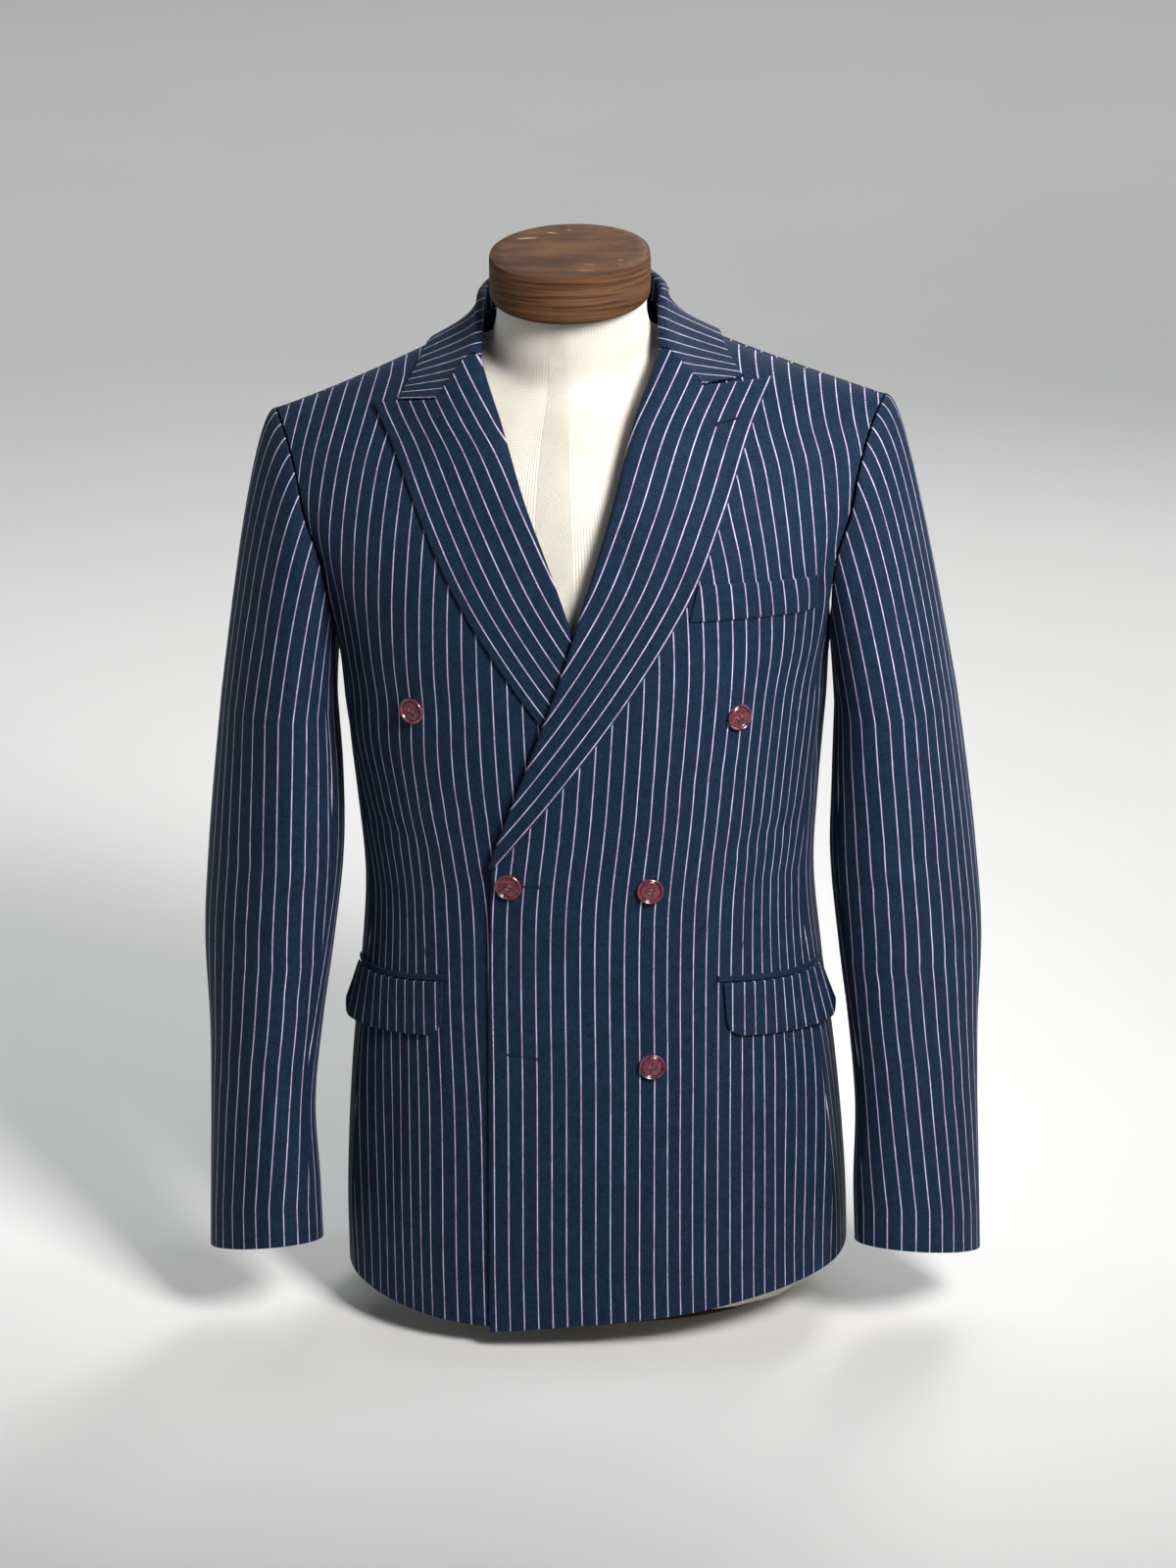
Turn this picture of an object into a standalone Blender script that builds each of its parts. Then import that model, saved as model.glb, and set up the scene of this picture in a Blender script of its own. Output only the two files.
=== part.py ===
"""Double-breasted suit jacket with peak lapels, worn by a limbless dress form.

Blender 4.5, metres, +Z up.  The jacket faces -Y, its left side is +X, and the
origin is on the ground under the middle of the form.  Every cloth piece is a
wall lofted from the sections below, with its outer face on the given sizes.
"""
import math
from collections import namedtuple

import bmesh
import bpy
from mathutils import Vector

# ---------------------------------------------------------------- cloth walls
WALL = 0.0018             # thickness of one layer of cloth
SEAM_GAP = 0.0003         # between pieces that are sewn together
LAYER_GAP = 0.0008        # between a piece and the panel it lies on
LEFT, RIGHT = 1, -1       # sides of the wearer; the left front laps over

# ------------------------------------------------------------- jacket body
Section = namedtuple("Section", "height half front back")
BODY = (                  # outer face: half width, depth of front and of back
    Section(0.010, 0.196, 0.130, 0.140),
    Section(0.100, 0.195, 0.128, 0.142),
    Section(0.200, 0.188, 0.124, 0.138),
    Section(0.290, 0.1775, 0.121, 0.120),
    Section(0.355, 0.1725, 0.121, 0.104),
    Section(0.420, 0.1765, 0.124, 0.106),
    Section(0.490, 0.183, 0.130, 0.118),
    Section(0.545, 0.188, 0.132, 0.124),
    Section(0.600, 0.207, 0.129, 0.126),
    Section(0.650, 0.232, 0.122, 0.124),
    Section(0.720, 0.262, 0.112, 0.120),
    Section(0.800, 0.292, 0.104, 0.114),
)
SQUARENESS = 2.35         # power of the superellipse of a section
NECK_X, NECK_Y, NECK_Z = 0.072, 0.012, 0.783       # neck end of a shoulder seam
SHOULDER_X, SHOULDER_Z = 0.228, 0.722              # sleeve end of it
SHOULDER_SAG = 0.0025                              # dip of the seam between them
NAPE_Y, NAPE_RISE = 0.072, 0.007                   # middle of the back neckline
SHOULDER_ROUND = 0.150    # height over which the body closes to the shoulder seam
SHOULDER_POWER = 1.7
BREAK_Z = 0.393           # where the lapels start to roll
NORMAL_STEP = (0.6, 0.0012)                        # degrees and height, to either side
LEAN, LEAN_Z, LEAN_REACH = 0.020, 0.600, 0.150     # the left shoulder is carried higher
LEVEL_Z, LEVEL_REACH = 0.785, 0.030                # the neck is level again
NECK_SHIFT, SHIFT_REACH = -0.004, 0.180            # the neck opening is off the middle

Lap = namedtuple("Lap", "height lift")
LAP = (                   # how far the left front stands off the right one
    Lap(0.010, 0.0034),
    Lap(0.300, 0.0036),
    Lap(0.380, 0.0060),
    Lap(0.480, 0.0064),
    Lap(0.580, 0.0064),
    Lap(0.660, 0.0030),
    Lap(0.720, 0.0000),
    Lap(0.800, 0.0000),
)
LAP_END, LAP_FADE = 0.078, 0.060

SKIRT_ROWS, ROLL_ROWS, SEAM_ROWS = 8, 11, 7        # below the break and above it
TOP_DROPS = (0.011, 0.004, 0.0)                    # last rows, below the shoulder seam
FRONT_COLUMNS, SIDE_COLUMNS, BACK_COLUMNS, NECK_COLUMNS = 10, 7, 9, 3

Hem = namedtuple("Hem", "turn left right")
HEM = (                   # height of the hem, by degrees round from the front
    Hem(-24, 0.0140, 0.0380),
    Hem(20, 0.0325, 0.0195),
    Hem(65, 0.0440, 0.0310),
    Hem(120, 0.0440, 0.0380),
    Hem(180, 0.0400, 0.0400),
)

Front = namedtuple("Front", "height edge")
FRONT_EDGE = (            # front edge below the lapel, as distance past the middle
    Front(0.010, 0.0772),
    Front(0.150, 0.0746),
    Front(0.300, 0.0710),
    Front(0.393, 0.0660),
)

Lapel = namedtuple("Lapel", "share roll_x roll_z edge_x edge_z roll_height")
LAPEL = (                 # roll line and outer edge, from the break to the gorge
    Lapel(0.00, -0.0660, 0.393, -0.0600, 0.397, 0.0044),
    Lapel(0.16, -0.0390, 0.462, -0.0100, 0.460, 0.0046),
    Lapel(0.34, -0.0090, 0.540, 0.0430, 0.533, 0.0050),
    Lapel(0.52, 0.0140, 0.609, 0.0850, 0.601, 0.0058),
    Lapel(0.70, 0.0360, 0.671, 0.1120, 0.662, 0.0080),
    Lapel(0.86, 0.0530, 0.722, 0.1320, 0.711, 0.0115),
    Lapel(1.00, 0.0700, 0.762, 0.1480, 0.7380, 0.0160),
)
Gorge = namedtuple("Gorge", "notch_x notch_z peak_x peak_z corner_x corner_z")
GORGE = {                 # where collar and lapel part, the peak and the collar's corner
    LEFT: Gorge(0.0950, 0.7394, 0.1465, 0.7415, 0.1240, 0.7475),
    RIGHT: Gorge(0.0950, 0.7350, 0.1480, 0.7330, 0.1280, 0.7395),
}
PEAK_FROM = 0.70          # share of the lapel above which its sides differ
PEAK_LIFT = 0.0018        # its flap stands off more there
GORGE_FROM = 0.60         # the notch's bend starts here
ROLL_REACH = 0.006        # the roll line's fold stands this far out at most
LAPEL_SHARES = (0.0, 0.09, 0.18, 0.27, 0.36, 0.45, 0.54, 0.63, 0.72, 0.80, 0.87, 0.93, 0.97, 1.0)
ROLL_COLUMNS, GORGE_COLUMNS, FALL_COLUMNS = 7, 2, 6

# -------------------------------------------------------------------- collar
COLLAR_SIDE_X = 0.109                   # the fall's edge on the shoulder seam
COLLAR_BACK_Z = 0.7720                  # the fall's edge at the middle back
STAND_FRONT, STAND_BACK = 0.0200, 0.0340
STAND_LEAN = 0.25         # lean of the stand towards the neck
FOLD_RADIUS = 0.0034
Fall = namedtuple("Fall", "share bulge")
FALL = (                  # the fall hollows on the shoulder and fills out at the back
    Fall(0.0, 0.0000),
    Fall(0.3, -0.0055),
    Fall(0.6, -0.0010),
    Fall(1.0, 0.0030),
)
NOTCH_GAP = 0.0014
NECK_SHARE = 0.30         # the shoulder seam's place along the collar
COLLAR_SHARES = (0.0, 0.08, 0.16, 0.22, 0.26, 0.30, 0.35, 0.43, 0.54, 0.68, 0.84, 1.0)
SHOULDER_LIFT = 0.0014    # the fall's edge stands off more on the shoulder seam
SHOULDER_BLEND = 0.08     # within this share of the collar

# ------------------------------------------------------------------ armhole
ARM_BOTTOM_Z = 0.545
Arm = namedtuple("Arm", "angle share")
ARMHOLE = (               # its edge, as a share of the section's half width
    Arm(0, 0.870),
    Arm(36, 0.851),
    Arm(62, 0.857),
    Arm(82, 0.884),
    Arm(96, 0.895),
    Arm(114, 0.924),
    Arm(146, 0.968),
    Arm(180, 1.000),
)
ARM_ROWS, ARM_SPACING = 8, 1.3                     # closer together near the shoulder
FRONT_SEAM_TURN, BACK_SEAM_TURN = 70.0, 122.0      # side seams at the hem
FRONT_SEAM_ARM, BACK_SEAM_ARM = 138.0, 226.0       # where they meet the armhole

# ------------------------------------------------------------------ sleeves
Ring = namedtuple("Ring", "height outer left right centre_y depth")
SLEEVE = (                # outer half width, inner one on each side, half depth
    Ring(0.064, 0.3004, 0.2035, 0.2090, -0.0610, 0.0510),
    Ring(0.110, 0.2997, 0.2025, 0.2110, -0.0490, 0.0525),
    Ring(0.170, 0.2986, 0.2040, 0.2140, -0.0350, 0.0550),
    Ring(0.230, 0.2985, 0.1995, 0.2080, -0.0210, 0.0590),
    Ring(0.300, 0.3014, 0.1915, 0.1975, -0.0070, 0.0640),
    Ring(0.370, 0.2965, 0.1855, 0.1885, 0.0010, 0.0690),
    Ring(0.430, 0.2900, 0.1870, 0.1870, 0.0050, 0.0730),
    Ring(0.490, 0.2823, 0.1893, 0.1893, 0.0060, 0.0760),
)
SLEEVE_SWING = 15.0       # degrees that the section's front is swung towards the body
CUFF_TILT = 0.30          # rise of the cuff for each unit forward
CUFF_SIDE_TILT = 0.10     # and for each unit towards the body
CUFF_TILT_REACH = 0.30    # height over which the tilt dies out
CAP_FRONT = 0.006         # fullness of the cap, front and back
CAP_SHARES = (0.0, 0.07, 0.18, 0.34, 0.54, 0.77, 1.0)
SLEEVE_ROWS = 10
SLEEVE_HEAD = 0.0030      # how far the sleeve head stands over the shoulder

# ------------------------------------------------------------------ pockets
POCKET_X, POCKET_Z = 0.104, 0.2970      # inner top corner of the jet
POCKET_SLOPE = 0.16                     # fall of the pocket towards the side
JET_HEIGHT, JET_WALL = 0.0050, 0.0012
FLAP_HEIGHT, FLAP_WALL = 0.0430, 0.0018
FLAP_TURN = (33.0, 80.0)
FLAP_CORNER, FLAP_LENGTH = 0.012, 0.110
FLAP_STAND, FLAP_STAND_END = 0.0010, 0.0075        # how far its lower edge stands off
FLAP_ROWS, FLAP_ENDS = 3, [0.0, 0.012, 0.035, 0.07, 0.12]
JET_GAP, JET_SPARE = 0.0005, 1.5                   # below the jet; past the flap, in degrees
WELT_START, WELT_END = (0.0855, 0.0920), 0.1780    # front end below and above, and rear end
WELT_TOP, WELT_HEIGHT, WELT_SLOPE = 0.6145, 0.0275, 0.060

# ------------------------------------------------------------------ buttons
BUTTON_GAP, BUTTON_SIDES = 0.0004, 18
Turned = namedtuple("Turned", "radius height")
BUTTON_PROFILE = (        # from the middle of the top, over the rim, to the underside
    Turned(0.0000, 0.0022),
    Turned(0.0058, 0.0022),
    Turned(0.0072, 0.0033),
    Turned(0.0086, 0.0036),
    Turned(0.0098, 0.0030),
    Turned(0.0102, 0.0018),
    Turned(0.0094, 0.0004),
    Turned(0.0070, 0.0000),
    Turned(0.0000, 0.0000),
)
Button = namedtuple("Button", "name side x z")
BUTTONS = (
    Button("button_left_top", LEFT, 0.1200, 0.5085),
    Button("button_left_middle", LEFT, 0.0529, 0.3770),
    Button("button_left_bottom", LEFT, 0.0519, 0.2356),
    Button("button_fastened", LEFT, -0.0527, 0.3800),
    Button("button_right_top", RIGHT, 0.1222, 0.5130),
)

# --------------------------------------------------------------- dress form
Clear = namedtuple("Clear", "height clear")
FORM = (                  # space between the cloth and the form below the shoulders
    Clear(0.020, 0.026),
    Clear(0.200, 0.018),
    Clear(0.355, 0.009),
    Clear(0.560, 0.0105),
    Clear(0.800, 0.0105),
)
FORM_TOP_CLEAR = 0.0008   # the same on the shoulders, which carry the jacket
FORM_NECK_CLEAR = 0.0090  # and beside the neck
FORM_NECK_REACH = 0.0456  # over which the two pass over
FORM_POWER = 1.45         # rounds the form's shoulders more than the jacket's
FORM_END_X = 0.186        # half width of the form's shoulders
FORM_NECK_Z = 0.788       # the torso's own section ends here
FORM_BLEND = 14.0         # the higher, the sharper the neck meets the shoulders
FORM_SIDES = 28
FORM_MIDDLE_FROM, FORM_MIDDLE_REACH = 0.70, 0.08    # its axis passes over to the neck's
Rings = namedtuple("Rings", "count first last")
FORM_RINGS = (            # heights of its rings between the lowest and the highest
    Rings(2, 0.032, 0.075),
    Rings(7, 0.147, 0.580),
    Rings(5, 0.620, 0.700),
    Rings(8, 0.712, 0.796),
)
PLINTH_HEIGHT = 0.020
PLINTH_HALF, PLINTH_FRONT, PLINTH_BACK = 0.135, 0.070, 0.090
Neck = namedtuple("Neck", "height centre_y half depth")
NECK = (
    Neck(0.720, 0.004, 0.060, 0.060),
    Neck(0.750, -0.001, 0.062, 0.064),
    Neck(0.775, -0.008, 0.060, 0.062),
    Neck(0.795, -0.017, 0.056, 0.057),
    Neck(0.8083, -0.021, 0.056, 0.057),
)
BLOCK_CENTRE = (-0.0030, -0.030, 0.8445)            # middle of the block's top
BLOCK_HALF, BLOCK_DEPTH, BLOCK_SIDES = 0.0596, 0.0630, 28
BLOCK_TILT = math.radians(6.2)
Turning = namedtuple("Turning", "shrink drop")
BLOCK_PROFILE = (         # inset and depth below the top, from the middle of its rim
    Turning(0.0075, 0.0000),
    Turning(0.0025, 0.0010),
    Turning(0.0000, 0.0045),
    Turning(0.0006, 0.0310),
    Turning(0.0060, 0.0365),
)
NECK_TILT_FROM = 0.775    # the neck tips forward from here up
PLINTH_PROFILE = (        # inset and drop from the top
    Turning(0.0100, 0.0000),
    Turning(0.0060, 0.0040),
    Turning(0.0000, 0.0090),
    Turning(0.0000, 0.0200),
)

# ---------------------------------------------------------------- materials
COLOURS = {               # base colour, roughness
    "cloth": ((0.012, 0.030, 0.048), 0.85),
    "jersey": ((0.72, 0.69, 0.63), 0.80),
    "wood": ((0.060, 0.030, 0.018), 0.35),
    "button": ((0.110, 0.012, 0.022), 0.25),
}


def read(rows, column, at):
    """Smooth value of a column where the first column has the value `at`."""
    keys = [row[0] for row in rows]
    values = [getattr(row, column) for row in rows]
    at = min(max(at, keys[0]), keys[-1])
    last = len(keys) - 1
    low = next((i for i in range(last) if at <= keys[i + 1]), last - 1)
    span = keys[low + 1] - keys[low]
    share = (at - keys[low]) / span

    def slope(i):
        before, after = max(i - 1, 0), min(i + 1, last)
        return (values[after] - values[before]) / (keys[after] - keys[before]) * span

    square, cube = share ** 2, share ** 3
    return (values[low] * (2 * cube - 3 * square + 1)
            + slope(low) * (cube - 2 * square + share)
            + values[low + 1] * (3 * square - 2 * cube)
            + slope(low + 1) * (cube - square))


def smooth(share):
    """Ease from 0 to 1."""
    share = min(max(share, 0.0), 1.0)
    return share * share * (3 - 2 * share)


def mix(start, end, share):
    return start + (end - start) * share


# ------------------------------------------------------------ the body's form
# Each side is worked out with its own +X towards that side; to_side() turns a
# right-hand point over.  Turn is in degrees round from the front: 0 is the
# middle of the front, 90 the side seam's place and 180 the middle of the back.
def ridge(x, back=False):
    """Depth and height of the line where front and back meet on the shoulder."""
    share = (abs(x) - NECK_X) / (SHOULDER_X - NECK_X)
    y = mix(NECK_Y, 0.0, max(share, 0.0))
    z = mix(NECK_Z, SHOULDER_Z, share) - 4 * SHOULDER_SAG * max(share * (1 - share), 0.0)
    if back and abs(x) < NECK_X:
        arc = math.sqrt(1 - (x / NECK_X) ** 2)
        y = mix(NECK_Y, NAPE_Y, arc)
        z = NECK_Z + NAPE_RISE * arc ** 2
    return y, z


def turn_at(x, height):
    """Degrees round from the front at which a section has this half width."""
    share = min(abs(x) / read(BODY, "half", height), 1.0) ** (SQUARENESS / 2)
    return math.copysign(math.degrees(math.asin(share)), x)


def section_xy(turn, height):
    """Point of the plain section."""
    sine, cosine = math.sin(math.radians(turn)), math.cos(math.radians(turn))
    half = read(BODY, "half", height)
    depth = read(BODY, "front" if cosine > 0 else "back", height)
    x = half * math.copysign(abs(sine) ** (2 / SQUARENESS), sine)
    y = -depth * math.copysign(abs(cosine) ** (2 / SQUARENESS), cosine)
    return x, y


def close_over(x, y, height, back, lower=0.0, power=SHOULDER_POWER):
    """Bring a section's depth in to the shoulder seam near its top."""
    ridge_y, ridge_z = ridge(x, back)
    share = min(max((ridge_z - lower - height) / SHOULDER_ROUND, 0.0), 1.0)
    return mix(ridge_y, y, (1 - (1 - share) ** 2) ** (1 / power))


def lap_lift(x, height, side):
    """How far the left front stands off for the layers that it laps over."""
    if side == RIGHT:
        return 0.0
    return read(LAP, "lift", height) * (1 - smooth((x - LAP_END) / LAP_FADE))


def body_point(turn, height, side):
    """Point of the jacket's outer face."""
    x, y = section_xy(turn, height)
    y = close_over(x, y, height, back=turn > 90)
    if turn < 90:
        y -= lap_lift(x, height, side)
    return Vector((x, y, height))


def body_normal(turn, height, side):
    """Outward direction of the outer face."""
    step_turn, step_height = NORMAL_STEP
    x, _ = section_xy(turn, height)
    height = min(height, ridge(x, turn > 90)[1] - 2 * step_height)
    turning = (body_point(turn + step_turn, height, side)
               - body_point(turn - step_turn, height, side))
    rising = (body_point(turn, height + step_height, side)
              - body_point(turn, height - step_height, side))
    return turning.cross(rising).normalized()


def over_body(turn, height, side, lift):
    """Point lifted off the outer face."""
    return body_point(turn, height, side) + body_normal(turn, height, side) * lift


def over_front(x, height, side, lift=0.0):
    """Point over the front, at a distance from its middle."""
    return over_body(turn_at(x, height), height, side, lift)


def turn_over(vector, side):
    """A direction of one side, in the shared frame."""
    return Vector((vector.x * side, vector.y, vector.z))


def settle(point):
    """Raise the left shoulder, lower the right one and shift the neck opening."""
    high = smooth((point.z - LEAN_Z) / LEAN_REACH) * (1 - smooth((point.z - LEVEL_Z) / LEVEL_REACH))
    near = smooth((point.z - LEAN_Z) / SHIFT_REACH) * (1 - smooth((abs(point.x) - NECK_X) / LEAN_REACH))
    return Vector((point.x + NECK_SHIFT * near, point.y, point.z + LEAN * point.x * high))


def to_side(point, side):
    """A point of one side, in the shared frame."""
    return settle(turn_over(point, side))


# ------------------------------------------------------------- mesh builders
def material(name):
    """One Principled material, made once."""
    if name in bpy.data.materials:
        return bpy.data.materials[name]
    colour, roughness = COLOURS[name]
    made = bpy.data.materials.new(name)
    made.use_nodes = True
    shader = made.node_tree.nodes["Principled BSDF"]
    shader.inputs["Base Color"].default_value = (*colour, 1.0)
    shader.inputs["Roughness"].default_value = roughness
    return made


def collection(name):
    made = bpy.data.collections.new(name)
    bpy.context.scene.collection.children.link(made)
    return made


def add_object(name, mesh, finish):
    made = bpy.data.objects.new(name, mesh)
    made.data.materials.append(material(finish))
    PARTS.objects.link(made)
    return made


def ridge_normal(point):
    """Direction that both panels are thickened in along the shoulder seam."""
    if point.x < NECK_X - SEAM_GAP:
        return Vector((0, 0, 1))
    step = 0.002
    ends = [Vector((x, *ridge(x))) for x in (point.x - step, point.x + step)]
    seam = (ends[1] - ends[0]).normalized()
    return (Vector((0, 0, 1)) - seam * seam.z).normalized()


def draw_in(rows, first_column=0.0, last_column=0.0, first_row=0.0, last_row=0.0):
    """Draw the edges of a grid in, to leave the gap at a seam."""
    def pull(edge, inner, amount):
        return edge + (inner - edge).normalized() * amount

    for row in rows:
        row[0], row[-1] = pull(row[0], row[1], first_column), pull(row[-1], row[-2], last_column)
    rows[0] = [pull(a, b, first_row) for a, b in zip(rows[0], rows[1])]
    rows[-1] = [pull(a, b, last_row) for a, b in zip(rows[-1], rows[-2])]
    return rows


def tangent(line, i):
    """Direction of a line of points at one of them, fitted to three."""
    if len(line) == 2:
        return line[1] - line[0]
    i_mid = min(max(i, 1), len(line) - 2)
    a, b, c = line[i_mid - 1:i_mid + 2]
    first, second = (b - a).length, (c - b).length
    middle = ((b - a) * (second / first) + (c - b) * (first / second)) / (first + second)
    bend = ((c - b) / second - (b - a) / first) / (first + second)
    return middle - bend * (2 * first if i < i_mid else -2 * second if i > i_mid else 0)


def inner_face(rows, wall, seam_normal=None):
    """The same grid moved in by the wall, square to the surface."""
    columns = list(zip(*rows))
    inner = []
    for r, row in enumerate(rows):
        inner.append([])
        for c, point in enumerate(row):
            normal = tangent(row, c).cross(tangent(columns[c], r)).normalized()
            if seam_normal and r == len(rows) - 1 and point.x > NECK_X - SEAM_GAP:
                normal = seam_normal(point)
            inner[-1].append(point - normal * wall)
    return inner


def panel(name, rows, side=LEFT, wall=WALL, seam_normal=None):
    """Loft rows of outer points into a wall that is thickened inwards.

    Seen from outside on the left side, a row's points go to the right and the
    rows go up (or both the other way round).
    """
    mesh = bpy.data.meshes.new(name)
    bm = bmesh.new()
    outer, inner = ([[bm.verts.new(to_side(point, side)) for point in row] for row in grid]
                    for grid in (rows, inner_face(rows, wall, seam_normal)))

    def face(*corners):
        bm.faces.new(corners if side == LEFT else corners[::-1])

    last_row, last_column = len(rows) - 1, len(rows[0]) - 1
    for r in range(last_row):
        for c in range(last_column):
            face(outer[r][c], outer[r][c + 1], outer[r + 1][c + 1], outer[r + 1][c])
            face(inner[r][c], inner[r + 1][c], inner[r + 1][c + 1], inner[r][c + 1])
        face(outer[r][0], outer[r + 1][0], inner[r + 1][0], inner[r][0])
        face(outer[r + 1][-1], outer[r][-1], inner[r][-1], inner[r + 1][-1])
    for c in range(last_column):
        face(outer[0][c + 1], outer[0][c], inner[0][c], inner[0][c + 1])
        face(outer[-1][c], outer[-1][c + 1], inner[-1][c + 1], inner[-1][c])
    bm.to_mesh(mesh)
    bm.free()
    mesh.shade_smooth()
    return add_object(name, mesh, "cloth")


def loft_closed(name, rings, finish):
    """A solid through closed rings of equal length, with a flat cap on each end."""
    mesh = bpy.data.meshes.new(name)
    bm = bmesh.new()
    grid = [[bm.verts.new(point) for point in ring] for ring in rings]
    count = len(grid[0])
    for low, high in zip(grid, grid[1:]):
        for i in range(count):
            after = (i + 1) % count
            bm.faces.new([low[i], low[after], high[after], high[i]])
    bm.faces.new(grid[0][::-1])
    bm.faces.new(grid[-1])
    bmesh.ops.recalc_face_normals(bm, faces=bm.faces)
    bm.to_mesh(mesh)
    bm.free()
    mesh.shade_smooth()
    return add_object(name, mesh, finish)


def side_name(side):
    return "left" if side == LEFT else "right"


def steps(count, start=0.0, end=1.0):
    return [mix(start, end, i / (count - 1)) for i in range(count)]


# --------------------------------------------------------------- body panels
def arm_point(angle):
    """Armhole edge as turn and height: 0 the shoulder, 90 front, 180 underarm."""
    away = min(angle, 360 - angle)
    height = mix(ARM_BOTTOM_Z, SHOULDER_Z, (1 + math.cos(math.radians(away))) / 2)
    turn = turn_at(read(ARMHOLE, "share", away) * read(BODY, "half", height), height)
    return (180 - turn if angle > 180 else turn), height


def arm_angles(start, end):
    """Stations along the armhole from a side seam up to the shoulder."""
    return [mix(end, start, (1 - step) ** ARM_SPACING) for step in steps(ARM_ROWS)]


def side_angles():
    return steps(SIDE_COLUMNS, FRONT_SEAM_ARM, BACK_SEAM_ARM)


def seam_turn(height, at_hem, arm_angle):
    """A side seam runs from the hem to its place on the armhole."""
    top_turn, top_height = arm_point(arm_angle)
    return mix(at_hem, top_turn, smooth(height / top_height))


def skirt_rows(turn_low, turn_high, columns, side):
    """Rows from the hem up to the height of the lapels' break."""
    rows = []
    for rise in steps(SKIRT_ROWS):
        row = []
        for share in steps(columns):
            turn = mix(turn_low(BREAK_Z * rise), turn_high(BREAK_Z * rise), share)
            hem = read(HEM, side_name(side), turn)
            height = mix(hem, BREAK_Z, rise)
            turn = mix(turn_low(height), turn_high(height), share)
            row.append(body_point(turn, height, side))
        rows.append(row)
    return rows


def yoke_rows(line_low, line_high, side, back, columns, top=None):
    """Rows above the break, between two edges that have as many points each.

    Heights pass from level rows at the break to rows that follow the shoulder.
    The top row's columns may have their own spacing.
    """
    rows = []
    last = len(line_low) - 1
    for k, ((turn_a, z_a), (turn_b, z_b)) in enumerate(zip(line_low, line_high)):
        drops = [ridge(section_xy(t, z)[0], back)[1] - z for t, z in ((turn_a, z_a), (turn_b, z_b))]
        weight = smooth(k / last)
        row = []
        for i, share in enumerate(steps(columns)):
            place = mix(share, top[i], weight) if top else share
            turn, level = mix(turn_a, turn_b, place), mix(z_a, z_b, place)
            height = level
            for _ in range(5):
                under = ridge(section_xy(turn, height)[0], back)[1] - mix(*drops, place)
                height = mix(level, under, weight)
            row.append(body_point(turn, height, side))
        rows.append(row)
    return rows[1:]


def front_edge_turn(height):
    return turn_at(-read(FRONT_EDGE, "edge", height), height)


def outer_line(at_hem, arm_start, arm_end):
    """Side seam above the break and then the armhole, as turns and heights."""
    heights = steps(SEAM_ROWS, BREAK_Z, arm_point(arm_start)[1])
    line = [(seam_turn(z, at_hem, arm_start), z) for z in heights[:-1]]
    return line + [arm_point(angle) for angle in arm_angles(arm_start, arm_end)]


def make_front(side):
    """Front edge, roll line and neck on one side; side seam and armhole on the other."""
    top = LAPEL[-1]
    inner = [(read(LAPEL, "roll_x", s), read(LAPEL, "roll_z", s)) for s in steps(ROLL_ROWS)]
    for drop in TOP_DROPS:
        share = (NECK_Z - drop - top.roll_z) / (NECK_Z - top.roll_z)
        inner.append((mix(top.roll_x, NECK_X, share), NECK_Z - drop))
    rows = skirt_rows(front_edge_turn,
                      lambda z: seam_turn(z, FRONT_SEAM_TURN, FRONT_SEAM_ARM),
                      FRONT_COLUMNS, side)
    rows += yoke_rows([(turn_at(x, z), z) for x, z in inner],
                      outer_line(FRONT_SEAM_TURN, FRONT_SEAM_ARM, 0.0), side, False, FRONT_COLUMNS)
    half_gap = SEAM_GAP / 2
    return panel(f"front_{side_name(side)}", draw_in(rows, half_gap, half_gap, 0, half_gap), side,
                 seam_normal=ridge_normal)


def make_side(side):
    """The side body, from the hem to the bottom of the armhole."""
    rows = skirt_rows(lambda z: seam_turn(z, FRONT_SEAM_TURN, FRONT_SEAM_ARM),
                      lambda z: seam_turn(z, BACK_SEAM_TURN, BACK_SEAM_ARM),
                      SIDE_COLUMNS, side)
    tops = [arm_point(angle) for angle in side_angles()]
    for rise in steps(SEAM_ROWS)[1:]:
        edges = [mix(BREAK_Z, tops[i][1], rise) for i in (0, -1)]
        turns = (seam_turn(edges[0], FRONT_SEAM_TURN, FRONT_SEAM_ARM),
                 seam_turn(edges[1], BACK_SEAM_TURN, BACK_SEAM_ARM))
        row = []
        for share, (turn, height) in zip(steps(SIDE_COLUMNS), tops):
            curve = turn - mix(tops[0][0], tops[-1][0], share)
            row.append(body_point(mix(*turns, share) + curve * rise ** 2,
                                  mix(BREAK_Z, height, rise), side))
        rows.append(row)
    half_gap = SEAM_GAP / 2
    return panel(f"side_{side_name(side)}", draw_in(rows, half_gap, half_gap, 0, half_gap), side)


def make_back(side):
    """From the side seam and armhole to the seam down the middle of the back."""
    nape = NECK_Z + NAPE_RISE
    gorge_drop = NECK_Z - LAPEL[-1].roll_z
    middle = [(180.0, z) for z in steps(ROLL_ROWS, BREAK_Z, nape - gorge_drop)]
    middle += [(180.0, nape - drop) for drop in TOP_DROPS]
    shoulder, neck = turn_at(SHOULDER_X, SHOULDER_Z), turn_at(NECK_X, NECK_Z)
    on_seam = (shoulder - neck) / shoulder
    top = steps(BACK_COLUMNS - NECK_COLUMNS, 0.0, on_seam) + steps(NECK_COLUMNS + 1, on_seam, 1.0)[1:]
    rows = skirt_rows(lambda z: seam_turn(z, BACK_SEAM_TURN, BACK_SEAM_ARM),
                      lambda z: 180.0, BACK_COLUMNS, side)
    rows += yoke_rows(outer_line(BACK_SEAM_TURN, BACK_SEAM_ARM, 360.0), middle, side, True,
                      BACK_COLUMNS, top)
    half_gap = SEAM_GAP / 2
    return panel(f"back_{side_name(side)}", draw_in(rows, half_gap, half_gap, 0, half_gap), side,
                 seam_normal=ridge_normal)


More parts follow.
